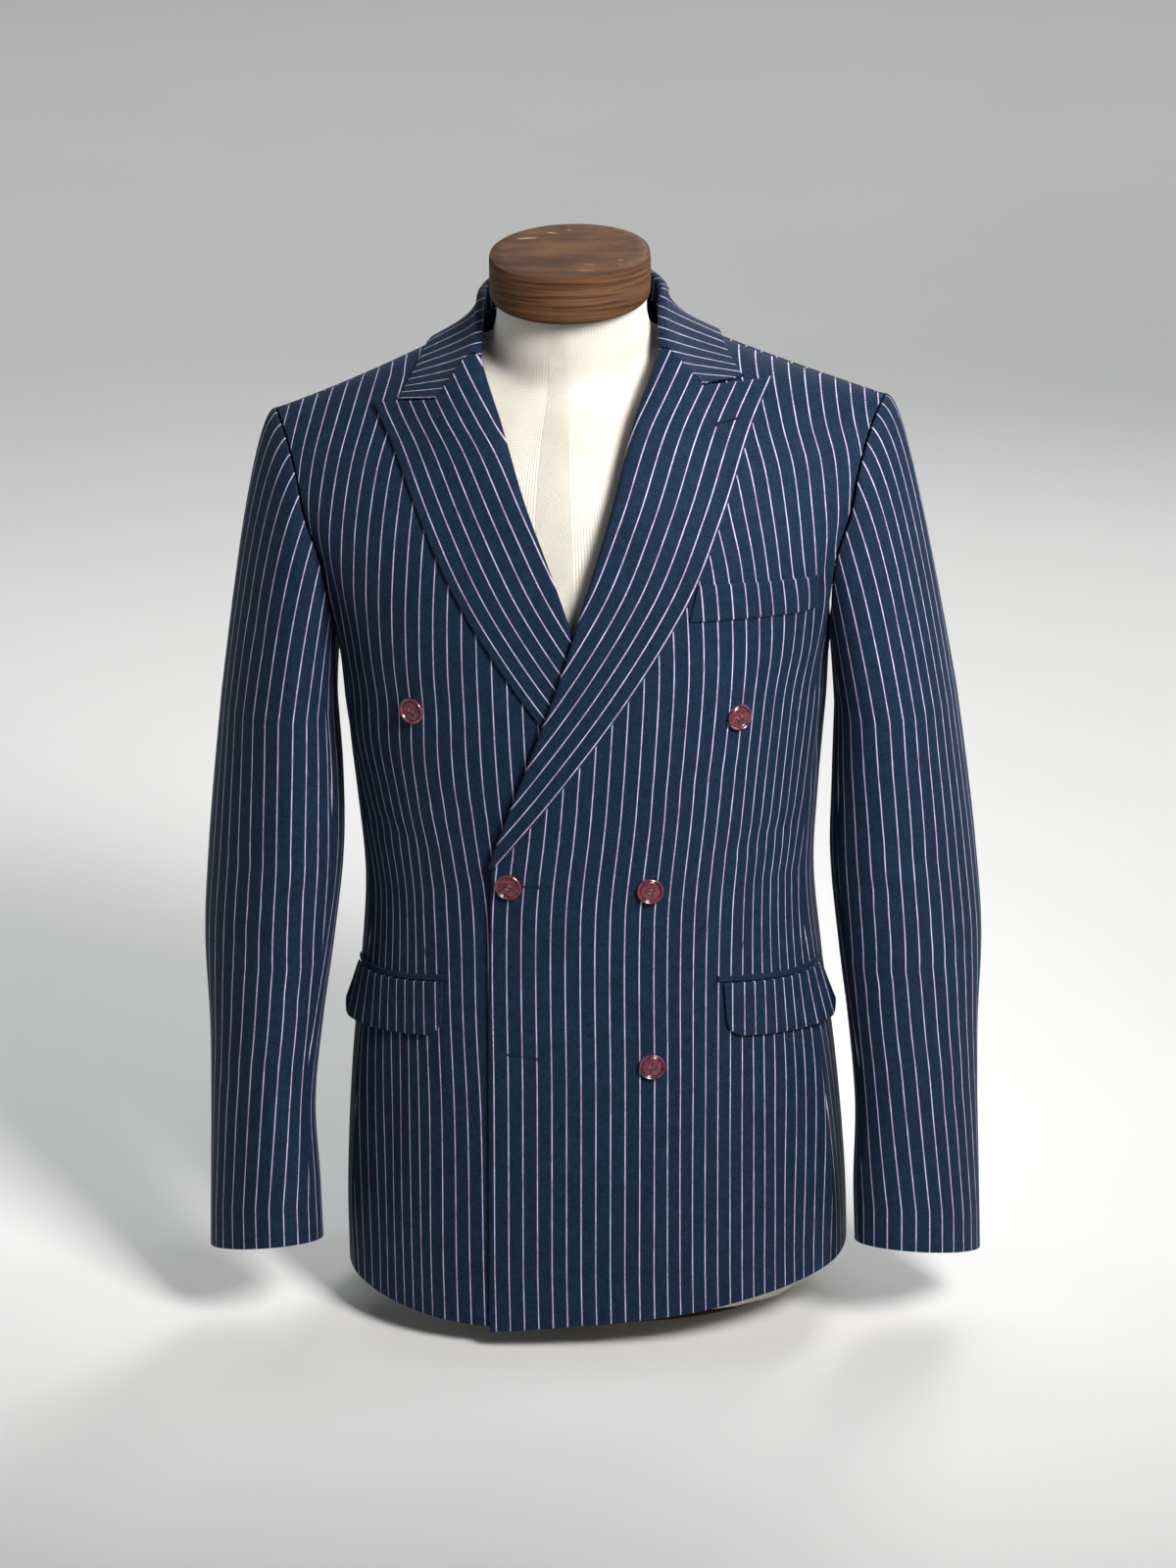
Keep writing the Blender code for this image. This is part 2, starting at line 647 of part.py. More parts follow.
# -------------------------------------------------------------------- lapels
def roll_frame(share, side):
    """A point of the roll line with its outward, sideways and upward directions."""
    def at(s):
        return over_front(read(LAPEL, "roll_x", s), read(LAPEL, "roll_z", s), side)

    here = at(share)
    along = (at(min(share + 0.02, 1.0)) - at(max(share - 0.02, 0.0))).normalized()
    x, z = read(LAPEL, "roll_x", share), read(LAPEL, "roll_z", share)
    out = body_normal(turn_at(x, z), z, side)
    out = (out - along * out.dot(along)).normalized()
    away = along.cross(out).normalized()
    return here, out, (away if away.x > 0 else -away), along


def roll_points(share, side):
    """Half round of the fold, from under the front's edge to over it."""
    here, out, away, _ = roll_frame(share, side)
    height = read(LAPEL, "roll_height", share)
    reach = min(height / 2, ROLL_REACH)
    points = []
    for angle in steps(ROLL_COLUMNS, -90, 90):
        rise = height / 2 * (1 + math.sin(math.radians(angle))) - WALL
        points.append(here + out * rise - away * (reach * math.cos(math.radians(angle)) + 2 * SEAM_GAP))
    return points


def fall_shares(notch_share):
    """Shares across a lapel or the collar's fall, with one on the notch."""
    return (steps(GORGE_COLUMNS + 1, 0, notch_share)[1:]
            + steps(FALL_COLUMNS - GORGE_COLUMNS + 1, notch_share, 1)[1:])


def lapel_level(share, height):
    return mix(height - WALL, LAYER_GAP + WALL, smooth(share))


def make_lapel(side):
    """The turned-back lapel: a soft roll and a flap that lies on the front."""
    top, gorge = LAPEL[-1], GORGE[side]
    notch_share = (gorge.notch_x - top.roll_x) / (gorge.peak_x - top.roll_x)
    sag = gorge.notch_z - mix(top.roll_z, gorge.peak_z, notch_share)
    rows = []
    for share in LAPEL_SHARES:
        lap = {name: read(LAPEL, name, share) for name in Lapel._fields[1:]}
        near_top = smooth((share - PEAK_FROM) / (1 - PEAK_FROM))
        lap["edge_x"] += (gorge.peak_x - top.edge_x) * near_top
        lap["edge_z"] += (gorge.peak_z - top.edge_z) * near_top
        row = roll_points(share, side)
        for across in fall_shares(notch_share):
            bend = min(across / notch_share, (1 - across) / (1 - notch_share))
            x = mix(lap["roll_x"], lap["edge_x"], across)
            z = mix(lap["roll_z"], lap["edge_z"], across) + sag * bend * smooth((share - GORGE_FROM) / (1 - GORGE_FROM))
            level = lapel_level(across, lap["roll_height"]) + PEAK_LIFT * near_top
            row.append(over_front(x, z, side, level))
        rows.append(row)
    return panel(f"lapel_{side_name(side)}", rows, side)


# -------------------------------------------------------------------- collar
def neckline(share):
    """Neck edge of the panels, from the gorge (0) past the shoulder to the nape (1)."""
    top = LAPEL[-1]
    if share < NECK_SHARE:
        part = share / NECK_SHARE
        return over_front(mix(top.roll_x, NECK_X, part), mix(top.roll_z, NECK_Z, part), RIGHT)
    angle = math.radians(90 * (share - NECK_SHARE) / (1 - NECK_SHARE))
    return Vector((NECK_X * math.cos(angle), mix(NECK_Y, NAPE_Y, math.sin(angle)),
                   NECK_Z + NAPE_RISE * math.sin(angle) ** 2))


def fall_edge(share, side):
    """Outer edge of the fall, from its front corner over the shoulder to the back."""
    front_turn = turn_at(COLLAR_SIDE_X, ridge(COLLAR_SIDE_X)[1])
    if share < NECK_SHARE:
        part = share / NECK_SHARE
        x = mix(GORGE[side].corner_x, COLLAR_SIDE_X, part)
        z = mix(GORGE[side].corner_z, ridge(COLLAR_SIDE_X)[1], part)
        point = over_front(x, min(z, ridge(x)[1]), RIGHT)
        out = body_normal(turn_at(x, z), z, RIGHT)
    else:
        part = (share - NECK_SHARE) / (1 - NECK_SHARE)
        turn = mix(180 - front_turn, 180, part)
        side_z = ridge(COLLAR_SIDE_X)[1]
        z = mix(side_z, COLLAR_BACK_Z, smooth(part))
        x, _ = section_xy(turn, z)
        point = body_point(turn, min(z, ridge(x, True)[1]), RIGHT)
        out = body_normal(turn, z, RIGHT)
    blend = math.exp(-((share - NECK_SHARE) / SHOULDER_BLEND) ** 2)
    out = (out * (1 - blend) + ridge_normal(point) * blend).normalized()
    return point + out * (LAYER_GAP + WALL + SHOULDER_LIFT * blend)


def collar_row(share, side):
    """Stand, fold and fall at one place round the neck."""
    top, gorge = LAPEL[-1], GORGE[side]
    along = roll_frame(1.0, RIGHT)[3]
    start = [point + along * (4 * SEAM_GAP) for point in roll_points(1.0, RIGHT)]
    away = neckline(share) - Vector((0, NECK_Y, 0))
    away = Vector((away.x, away.y, 0)).normalized() if share > NECK_SHARE else Vector((1, 0, 0))
    up = (Vector((0, 0, 1)) - away * STAND_LEAN).normalized()
    base = neckline(share) - away * (WALL + SEAM_GAP) + up * (2 * SEAM_GAP)
    stand = mix(STAND_FRONT, STAND_BACK, smooth(share)) - FOLD_RADIUS
    points = [base + up * stand * rise for rise in (0.0, 0.34, 0.68)]
    hub = base + up * stand + away * FOLD_RADIUS
    for angle in steps(ROLL_COLUMNS - 3, 180, 0):
        turned = away * math.cos(math.radians(angle)) + up * math.sin(math.radians(angle))
        points.append(hub + turned * FOLD_RADIUS)
    points = [a.lerp(b, smooth(share / NECK_SHARE)) for a, b in zip(start, points)]
    edge, head = fall_edge(share, side), points[-1]
    level = lapel_level((gorge.notch_x - top.roll_x) / (gorge.peak_x - top.roll_x), top.roll_height)
    level += PEAK_LIFT
    notch = over_front(gorge.notch_x, gorge.notch_z, RIGHT, level) + along * NOTCH_GAP
    straight = 1 - smooth(share / NECK_SHARE)
    corner = GORGE_COLUMNS / FALL_COLUMNS
    for across in steps(FALL_COLUMNS + 1)[1:]:
        bulge = read(FALL, "bulge", share) * math.sin(math.pi * across ** 0.7)
        plain = head.lerp(edge, across) + (away + Vector((0, 0, 0.6))) * bulge
        bent = (head.lerp(notch, across / corner) if across < corner
                else notch.lerp(edge, (across - corner) / (1 - corner)))
        points.append(plain.lerp(bent, straight))
    return [turn_over(point, side) for point in points]


def make_collar():
    """One piece round the neck, from the left gorge by the nape to the right one."""
    rows = [collar_row(share, LEFT) for share in COLLAR_SHARES]
    rows += [collar_row(share, RIGHT) for share in COLLAR_SHARES[-2::-1]]
    return panel("collar", rows)


# ------------------------------------------------------------------- sleeves
def sleeve_ring(height, angle, side):
    """Point of the sleeve below the armhole: 0 is outside, 90 front, 180 inside."""
    sine, cosine = math.sin(math.radians(angle)), math.cos(math.radians(angle))
    depth = read(SLEEVE, "depth", height)
    outer, inner = read(SLEEVE, "outer", height), read(SLEEVE, side_name(side), height)
    half = (outer - inner) / 2
    level = 1 - smooth((height - SLEEVE[0].height) / CUFF_TILT_REACH)
    tilt = (CUFF_TILT * depth * sine - CUFF_SIDE_TILT * half * cosine) * level
    return Vector((inner + half * (1 + math.cos(math.radians(angle + SLEEVE_SWING))),
                   read(SLEEVE, "centre_y", height) - depth * sine, height + tilt))


def sleeve_cap(angle, share, side):
    """Point of the cap, which bends from the armhole down to the sleeve."""
    turn, height = arm_point(angle)
    start = body_point(turn, height, RIGHT)
    end = sleeve_ring(SLEEVE[-1].height, angle, side)
    over = (1 + math.cos(math.radians(angle))) / 2
    start = start + Vector((SEAM_GAP * 2, 0, -SEAM_GAP * (1 - over)))
    bend = Vector((mix(start.x, end.x, mix(0.55, 0.33, over)),
                   mix(start.y, end.y, 0.5) - CAP_FRONT * math.sin(math.radians(angle)),
                   mix(start.z, end.z, mix(0.45, 0.0, over ** 0.7)) + SLEEVE_HEAD * over ** 4))
    return start.lerp(bend, share).lerp(bend.lerp(end, share), share)


def make_sleeve(side, name, angles):
    rows = [[sleeve_cap(angle % 360, share, side) for angle in angles] for share in CAP_SHARES]
    heights = steps(SLEEVE_ROWS, SLEEVE[-1].height, SLEEVE[0].height)[1:]
    rows += [[sleeve_ring(height, angle, side) for angle in angles] for height in heights]
    return panel(f"{name}_{side_name(side)}", draw_in(rows, SEAM_GAP, SEAM_GAP), side)


def make_sleeves(side):
    """Top and under sleeve, seamed at stations of the armhole."""
    front, back = arm_angles(FRONT_SEAM_ARM, 0.0), arm_angles(BACK_SEAM_ARM, 360.0)
    make_sleeve(side, "sleeve_top", [a - 360 for a in back[1:]] + front[-2::-1])
    make_sleeve(side, "sleeve_under", side_angles() + [back[1]])


# ------------------------------------------------------------------- pockets
def pocket_top(x):
    return POCKET_Z - POCKET_SLOPE * (x - POCKET_X)


def corner_rise(distance, radius):
    """Rise of a rounded lower corner at a distance from the end."""
    short = max(radius - distance, 0.0)
    return radius - math.sqrt(radius ** 2 - short ** 2)


def make_flap(side):
    first, last = FLAP_TURN
    shares = FLAP_ENDS + steps(3, 0.3, 0.7) + [1 - share for share in FLAP_ENDS[::-1]]
    rows = []
    for rise in steps(FLAP_ROWS):
        row = []
        for share in shares:
            turn = mix(first, last, share)
            x, _ = section_xy(turn, POCKET_Z)
            top = pocket_top(x)
            edge = min(share, 1 - share) * FLAP_LENGTH
            height = mix(top - FLAP_HEIGHT + corner_rise(edge, FLAP_CORNER), top, rise)
            open_out = (1 - rise) * mix(FLAP_STAND, FLAP_STAND_END, smooth((share - 0.5) / 0.5))
            row.append(over_body(turn, height, side, 1.5 * LAYER_GAP + FLAP_WALL + open_out))
        rows.append(row)
    return panel(f"pocket_flap_{side_name(side)}", rows, side, FLAP_WALL)


def make_jet(side):
    first, last = FLAP_TURN
    rows = []
    for rise in (0.0, 1.0):
        row = []
        for share in steps(10):
            turn = mix(first - JET_SPARE, last + JET_SPARE, share)
            x, _ = section_xy(turn, POCKET_Z)
            height = pocket_top(x) + JET_GAP + rise * JET_HEIGHT
            row.append(over_body(turn, height, side, LAYER_GAP + JET_WALL))
        rows.append(row)
    return panel(f"pocket_jet_{side_name(side)}", rows, side, JET_WALL)


def make_welt():
    rows = []
    for rise in (0.0, 0.5, 1.0):
        row = []
        for share in steps(8):
            x = mix(mix(*WELT_START, rise), WELT_END, share)
            top = WELT_TOP - WELT_SLOPE * (x - WELT_START[1])
            row.append(over_front(x, top - WELT_HEIGHT * (1 - rise), LEFT, LAYER_GAP + WALL))
        rows.append(row)
    return panel("breast_welt", rows, LEFT)


# ------------------------------------------------------------------- buttons
def make_button(button):
    """A turned disc with a raised rim, set square on the cloth."""
    mesh = bpy.data.meshes.new(button.name)
    bm = bmesh.new()
    profile = [bm.verts.new((radius, 0, z)) for radius, z in BUTTON_PROFILE]
    for a, b in zip(profile, profile[1:]):
        bm.edges.new((a, b))
    bm.to_mesh(mesh)
    bm.free()
    made = add_object(button.name, mesh, "button")
    turned = made.modifiers.new("turned", "SCREW")
    turned.axis = "Z"
    turned.steps = BUTTON_SIDES
    turned.render_steps = BUTTON_SIDES
    turned.use_merge_vertices = True
    turned.merge_threshold = 0.00005
    turned.use_smooth_shade = True
    turn = turn_at(button.x, button.z)
    out = turn_over(body_normal(turn, button.z, button.side), button.side)
    made.location = to_side(over_front(button.x, button.z, button.side), button.side) + out * BUTTON_GAP
    made.rotation_mode = "QUATERNION"
    made.rotation_quaternion = out.to_track_quat("Z", "Y")
    return made


# --------------------------------------------------------------- dress form
def form_drop(x):
    """How far the form's shoulder is below the cloth's outer face."""
    away = smooth((abs(x) - NECK_X) / FORM_NECK_REACH)
    return WALL + mix(FORM_NECK_CLEAR, FORM_TOP_CLEAR, away)


def form_depths(x, height):
    """Front and back of the torso at a distance from the middle, or None outside."""
    clear = WALL + read(FORM, "clear", height)
    half = min(read(BODY, "half", height) - clear, FORM_END_X)
    lower = form_drop(x)
    if abs(x) >= half or ridge(x)[1] - lower <= height:
        return None
    round_off = (1 - (abs(x) / half) ** SQUARENESS) ** (1 / SQUARENESS)
    front = -(read(BODY, "front", height) - clear) * round_off
    back = (read(BODY, "back", height) - clear) * round_off
    return [close_over(x, y, height, False, lower, FORM_POWER) for y in (front, back)]


def form_radius(angle, height, centre_y):
    """Distance from the axis to the torso's skin in one direction."""
    aim = Vector((math.sin(angle), -math.cos(angle)))
    near, far = 0.0, 0.3
    for _ in range(26):
        middle = (near + far) / 2
        depths = form_depths(aim.x * middle, height)
        y = aim.y * middle + centre_y
        inside = depths and depths[0] < y < depths[1]
        near, far = (middle, far) if inside else (near, middle)
    return near


def neck_radius(angle, height):
    half, depth = read(NECK, "half", height), read(NECK, "depth", height)
    return 1 / math.hypot(math.sin(angle) / half, math.cos(angle) / depth)


def form_ring(height):
    """The torso below the shoulders, the neck above, and the larger between."""
    ring = []
    own_shift = BLOCK_CENTRE[0] - NECK_SHIFT
    centre_y = mix(NECK_Y / 2, read(NECK, "centre_y", height), smooth((height - FORM_MIDDLE_FROM) / FORM_MIDDLE_REACH))
    tip = smooth((height - NECK_TILT_FROM) / (NECK[-1].height - NECK_TILT_FROM))
    for k in range(FORM_SIDES):
        angle = 2 * math.pi * k / FORM_SIDES
        radius = form_radius(angle, height, centre_y) if height < FORM_NECK_Z else 0.0
        if height > NECK[0].height:
            neck = neck_radius(angle, height)
            radius = (radius ** FORM_BLEND + neck ** FORM_BLEND) ** (1 / FORM_BLEND)
        x, y = radius * math.sin(angle), centre_y - radius * math.cos(angle)
        z = height + tip * math.tan(BLOCK_TILT) * (y - centre_y)
        ring.append(settle(Vector((x + own_shift * tip, y, z))))
    return ring


def make_form():
    low = PLINTH_HEIGHT + SEAM_GAP
    heights = [low] + [z for rings in FORM_RINGS for z in steps(*rings)] + [NECK[-1].height]
    return loft_closed("torso_form", [form_ring(height) for height in heights], "jersey")


def oval(half, front, back, centre, sides, tilt=0.0):
    ring = []
    for k in range(sides):
        angle = 2 * math.pi * k / sides
        depth = front if math.cos(angle) > 0 else back
        y = -depth * math.cos(angle)
        ring.append(Vector((centre[0] + half * math.sin(angle), centre[1] + y,
                            centre[2] + y * math.tan(tilt))))
    return ring


def make_neck_block():
    """A lacquered wooden cap on the neck, its top tipped a little forward."""
    x, y, top = BLOCK_CENTRE
    rings = []
    for shrink, drop in BLOCK_PROFILE:
        half, depth = BLOCK_HALF - shrink, BLOCK_DEPTH - shrink
        rings.append(oval(half, depth, depth, (x, y, top - drop), BLOCK_SIDES, BLOCK_TILT))
    return loft_closed("neck_block", rings[::-1], "wood")


def make_plinth():
    rings = []
    for shrink, drop in PLINTH_PROFILE:
        rings.append(oval(PLINTH_HALF - shrink, PLINTH_FRONT - shrink, PLINTH_BACK - shrink,
                          (0, 0, PLINTH_HEIGHT - drop), FORM_SIDES))
    return loft_closed("plinth", rings[::-1], "wood")


for old in list(bpy.data.objects):
    bpy.data.objects.remove(old, do_unlink=True)

PARTS = collection("suit_jacket_on_dress_form")

for wearer_side in (LEFT, RIGHT):
    make_front(wearer_side)
    make_side(wearer_side)
    make_back(wearer_side)
    make_lapel(wearer_side)
    make_sleeves(wearer_side)
    make_flap(wearer_side)
    make_jet(wearer_side)
make_collar()
make_welt()
for button_row in BUTTONS:
    make_button(button_row)
make_form()
make_neck_block()
make_plinth()
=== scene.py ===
"""Looks of the double-breasted suit jacket on its limbless dress form.

Metres, +Z up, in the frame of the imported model.  Cloth pieces are thin shells
worked out from the same named sizes as their solids, with finer grids, soft
creases, rounded edges and a cut (UV) map in metres that carries the stripes.
"""
import math
from collections import namedtuple
from functools import cache

import bpy
import numpy as np
from mathutils import Matrix, Vector


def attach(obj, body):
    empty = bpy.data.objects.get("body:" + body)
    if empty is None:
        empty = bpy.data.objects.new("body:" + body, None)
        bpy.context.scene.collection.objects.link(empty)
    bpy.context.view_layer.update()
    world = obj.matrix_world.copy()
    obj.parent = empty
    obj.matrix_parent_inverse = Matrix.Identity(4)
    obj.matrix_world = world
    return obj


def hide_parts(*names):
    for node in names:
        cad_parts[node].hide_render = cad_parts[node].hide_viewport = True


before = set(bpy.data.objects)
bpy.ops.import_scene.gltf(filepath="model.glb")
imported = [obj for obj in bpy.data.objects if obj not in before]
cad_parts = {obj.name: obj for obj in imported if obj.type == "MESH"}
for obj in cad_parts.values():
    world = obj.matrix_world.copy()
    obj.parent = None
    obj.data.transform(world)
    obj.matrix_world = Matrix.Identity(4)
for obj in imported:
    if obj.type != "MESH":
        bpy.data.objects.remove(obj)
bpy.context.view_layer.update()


def table(columns, *rows):
    """Rows with named columns."""
    kind = namedtuple("Row", columns)
    return tuple(kind(*row) for row in rows)


# ---------------------------------------------------------------- cloth walls
WALL = 0.0018             # thickness of one layer of cloth
SEAM_GAP = 0.0003         # between pieces that are sewn together
LAYER_GAP = 0.0008        # between a piece and the panel it lies on
LEFT, RIGHT = 1, -1       # sides of the wearer; the left front laps over
UP = Vector((0, 0, 1))

# ------------------------------------------------------------- jacket body
BODY = table(             # outer face: half width, depth of front and of back
    "height half front back",
    (0.010, 0.196, 0.130, 0.140),
    (0.100, 0.195, 0.128, 0.142),
    (0.200, 0.188, 0.124, 0.138),
    (0.290, 0.1775, 0.121, 0.120),
    (0.355, 0.1725, 0.121, 0.104),
    (0.420, 0.1765, 0.124, 0.106),
    (0.490, 0.183, 0.130, 0.118),
    (0.545, 0.188, 0.132, 0.124),
    (0.600, 0.207, 0.129, 0.126),
    (0.650, 0.232, 0.122, 0.124),
    (0.720, 0.262, 0.112, 0.120),
    (0.800, 0.292, 0.104, 0.114),
)
SQUARENESS = 2.35         # power of the superellipse of a section
NECK_X, NECK_Y, NECK_Z = 0.072, 0.012, 0.783       # neck end of a shoulder seam
SHOULDER_X, SHOULDER_Z = 0.228, 0.722              # sleeve end of it
SHOULDER_SAG = 0.0025                              # dip of the seam between them
NAPE_Y, NAPE_RISE = 0.072, 0.007                   # middle of the back neckline
SHOULDER_ROUND = 0.150    # height over which the body closes to the shoulder seam
SHOULDER_POWER = 1.7
RIDGE_STEP = 0.002        # to either side of a point of the seam, for its direction
BREAK_Z = 0.393           # where the lapels start to roll
NORMAL_STEP = (0.6, 0.0012)                        # degrees and height, to either side
LEAN, LEAN_Z, LEAN_REACH = 0.020, 0.600, 0.150     # the left shoulder is carried higher
LEVEL_Z, LEVEL_REACH = 0.785, 0.030                # the neck is level again
NECK_SHIFT, SHIFT_REACH = -0.004, 0.180            # the neck opening is off the middle

LAP = table(              # how far the left front stands off the right one
    "height lift",
    (0.010, 0.0034),
    (0.300, 0.0036),
    (0.380, 0.0060),
    (0.480, 0.0064),
    (0.580, 0.0064),
    (0.660, 0.0030),
    (0.720, 0.0000),
    (0.800, 0.0000),
)
LAP_END, LAP_FADE = 0.078, 0.060        # past the middle, and how it dies out there

SKIRT_ROWS, ROLL_ROWS, SEAM_ROWS = 58, 44, 26      # below the break and above it
LEVEL_ROUNDS = 4          # rounds in which a row settles below the shoulder seam
TOP_DROPS = (0.012, 0.009, 0.0065, 0.0045, 0.003, 0.0018, 0.0008, 0.0)     # of the last rows
FRONT_COLUMNS, SIDE_COLUMNS, BACK_COLUMNS, NECK_COLUMNS = 52, 26, 46, 14

HEM = table(              # height of the hem, by degrees round from the front
    "turn left right",
    (-24, 0.0140, 0.0380),
    (20, 0.0325, 0.0195),
    (65, 0.0440, 0.0310),
    (120, 0.0440, 0.0380),
    (180, 0.0400, 0.0400),
)

FRONT_EDGE = table(       # front edge below the lapel, as distance past the middle
    "height edge",
    (0.010, 0.0772),
    (0.150, 0.0746),
    (0.300, 0.0710),
    (0.393, 0.0660),
)

LAPEL = table(            # roll line and outer edge, from the break to the gorge
    "share roll_x roll_z edge_x edge_z roll_height",
    (0.00, -0.0660, 0.393, -0.0600, 0.397, 0.0044),
    (0.16, -0.0390, 0.462, -0.0100, 0.460, 0.0046),
    (0.34, -0.0090, 0.540, 0.0430, 0.533, 0.0050),
    (0.52, 0.0140, 0.609, 0.0850, 0.601, 0.0058),
    (0.70, 0.0360, 0.671, 0.1120, 0.662, 0.0080),
    (0.86, 0.0530, 0.722, 0.1320, 0.711, 0.0115),
    (1.00, 0.0700, 0.762, 0.1480, 0.7380, 0.0160),
)
Gorge = namedtuple("Gorge", "notch_x notch_z peak_x peak_z corner_x corner_z")
GORGE = {                 # where collar and lapel part, the peak and the collar's corner
    LEFT: Gorge(0.0950, 0.7394, 0.1465, 0.7415, 0.1240, 0.7475),
    RIGHT: Gorge(0.0950, 0.7350, 0.1480, 0.7330, 0.1280, 0.7395),
}
PEAK_FROM = 0.70          # share of the lapel above which its sides differ
PEAK_LIFT = 0.0018        # its flap stands off more there
GORGE_FROM = 0.60         # the notch's bend starts here
ROLL_REACH = 0.006        # the roll line's fold stands this far out at most
ROLL_STEP = 0.02          # share of the roll line that gives its direction, to either side
LAPEL_ROWS = 84
ROLL_COLUMNS, GORGE_COLUMNS, FALL_COLUMNS = 13, 9, 27

# -------------------------------------------------------------------- collar
COLLAR_SIDE_X = 0.109                   # the fall's edge on the shoulder seam
COLLAR_BACK_Z = 0.7720                  # the fall's edge at the middle back
STAND_FRONT, STAND_BACK = 0.0200, 0.0340
STAND_LEAN = 0.25         # lean of the stand towards the neck
STAND_STEPS = (0.0, 0.34, 0.68)         # rows of the stand below its fold
FOLD_RADIUS = 0.0034      # between the stand and the fall
FALL = table(             # the fall hollows on the shoulder and fills out at the back
    "share bulge",
    (0.0, 0.0000),
    (0.3, -0.0055),
    (0.6, -0.0010),
    (1.0, 0.0030),
)
BULGE_RISE, BULGE_POWER = 0.6, 0.7      # the fall bulges upwards too, most near the fold
NOTCH_GAP = 0.0014
NECK_SHARE = 0.30         # the shoulder seam's place along the collar
COLLAR_ROWS = 60
SHOULDER_LIFT = 0.0014    # the fall's edge stands off more on the shoulder seam
SHOULDER_BLEND = 0.08     # within this share of the collar
COLLAR_WIDTH = 0.08       # of its cut
END_LENGTH, END_DROP, END_OUT, END_LEAST = 0.030, 0.0046, 0.0028, 0.00006
END_POWER = 0.7           # its front end reaches down to the lapel, most at the outer tip
END_STEPS = (1.0, 0.66, 0.33)

# ------------------------------------------------------------------ armhole
ARM_BOTTOM_Z = 0.545
ARMHOLE = table(          # its edge, as a share of the section's half width
    "angle share",
    (0, 0.870),
    (36, 0.851),
    (62, 0.857),
    (82, 0.884),
    (96, 0.895),
    (114, 0.924),
    (146, 0.968),
    (180, 1.000),
)
ARM_ROWS, ARM_SPACING = 27, 1.3                    # closer together near the shoulder
FRONT_SEAM_TURN, BACK_SEAM_TURN = 70.0, 122.0      # side seams at the hem
FRONT_SEAM_ARM, BACK_SEAM_ARM = 138.0, 226.0       # where they meet the armhole

# ------------------------------------------------------------------ sleeves
SLEEVE = table(           # outer half width, inner one on each side, half depth
    "height outer left right centre_y depth",
    (0.064, 0.3004, 0.2035, 0.2090, -0.0610, 0.0510),
    (0.110, 0.2997, 0.2025, 0.2110, -0.0490, 0.0525),
    (0.170, 0.2986, 0.2040, 0.2140, -0.0350, 0.0550),
    (0.230, 0.2985, 0.1995, 0.2080, -0.0210, 0.0590),
    (0.300, 0.3014, 0.1915, 0.1975, -0.0070, 0.0640),
    (0.370, 0.2965, 0.1855, 0.1885, 0.0010, 0.0690),
    (0.430, 0.2900, 0.1870, 0.1870, 0.0050, 0.0730),
    (0.490, 0.2823, 0.1893, 0.1893, 0.0060, 0.0760),
)
SLEEVE_SWING = 15.0       # degrees that the section's front is swung towards the body
CUFF_TILT = 0.30          # rise of the cuff for each unit forward
CUFF_SIDE_TILT = 0.10     # and for each unit towards the body
CUFF_TILT_REACH = 0.30    # height over which the tilt dies out
CAP_FRONT = 0.006         # fullness of the cap, front and back
CAP_BEND_X, CAP_BEND_Z = (0.55, 0.33), (0.45, 0.0)  # its bend, underarm and shoulder
CAP_ROWS, SLEEVE_ROWS = 26, 84
TOP_COLUMNS, UNDER_COLUMNS = 54, 30
SLEEVE_HEAD = 0.0030      # how far the sleeve head stands over the shoulder
CAP_POWER, HEAD_POWER = 0.7, 4          # how both gather near the shoulder

# ------------------------------------------------------------------ pockets
POCKET_X, POCKET_Z = 0.104, 0.2970      # inner top corner of the jet
POCKET_SLOPE = 0.16                     # fall of the pocket towards the side
JET_HEIGHT, JET_WALL = 0.0050, 0.0012
FLAP_HEIGHT, FLAP_WALL = 0.0430, 0.0018
FLAP_TURN, FLAP_GAP = (33.0, 80.0), 1.5 * LAYER_GAP
FLAP_CORNER, FLAP_LENGTH = 0.012, 0.110
FLAP_STAND, FLAP_STAND_END = 0.0010, 0.0075        # how far its lower edge stands off
FLAP_ENDS = [0.0, 0.004, 0.010, 0.018, 0.028, 0.040, 0.055, 0.073, 0.092, 0.115]
FLAP_MIDDLE, FLAP_ROWS = (0.14, 0.86), 14
JET_GAP, JET_SPARE = 0.0005, 1.5                   # below the jet; past the flap, in degrees
JET_PLACE = (0.3, 0.7)                             # between two stripes of the cut
WELT_START, WELT_END = (0.0855, 0.0920), 0.1780    # front end below and above, and rear end
WELT_TOP, WELT_HEIGHT, WELT_SLOPE = 0.6145, 0.0275, 0.060

# ------------------------------------------------------------------ buttons
BUTTON_GAP = 0.0004       # between its back and the cloth
BUTTONS = table(
    "name side x z spin",
    ("button_left_top", LEFT, 0.1200, 0.5085, 20),
    ("button_left_middle", LEFT, 0.0529, 0.3770, 65),
    ("button_left_bottom", LEFT, 0.0519, 0.2356, 8),
    ("button_fastened", LEFT, -0.0527, 0.3800, 50),
    ("button_right_top", RIGHT, 0.1222, 0.5130, -14),
)
BUTTON_SEGMENTS, HOLE_SEGMENTS = 48, 14
BUTTON_CURVE = table(     # a flat middle, a groove and a broad raised rim
    "radius height",
    (0.0012, 0.0024),
    (0.0040, 0.0024),
    (0.0066, 0.0024),
    (0.0073, 0.0022),
    (0.0077, 0.0018),
    (0.0080, 0.0020),
    (0.0083, 0.0028),
    (0.0088, 0.0034),
    (0.0093, 0.0036),
    (0.0098, 0.0033),
    (0.0101, 0.0027),
    (0.0102, 0.0018),
    (0.0098, 0.0008),
    (0.0090, 0.0002),
    (0.0070, 0.0000),
    (0.0030, 0.0000),
)
HOLE_RADIUS, HOLE_REACH = 0.00100, 0.00170
HOLE_ENDS, SHARP_ANGLE = (-0.002, 0.006), 40
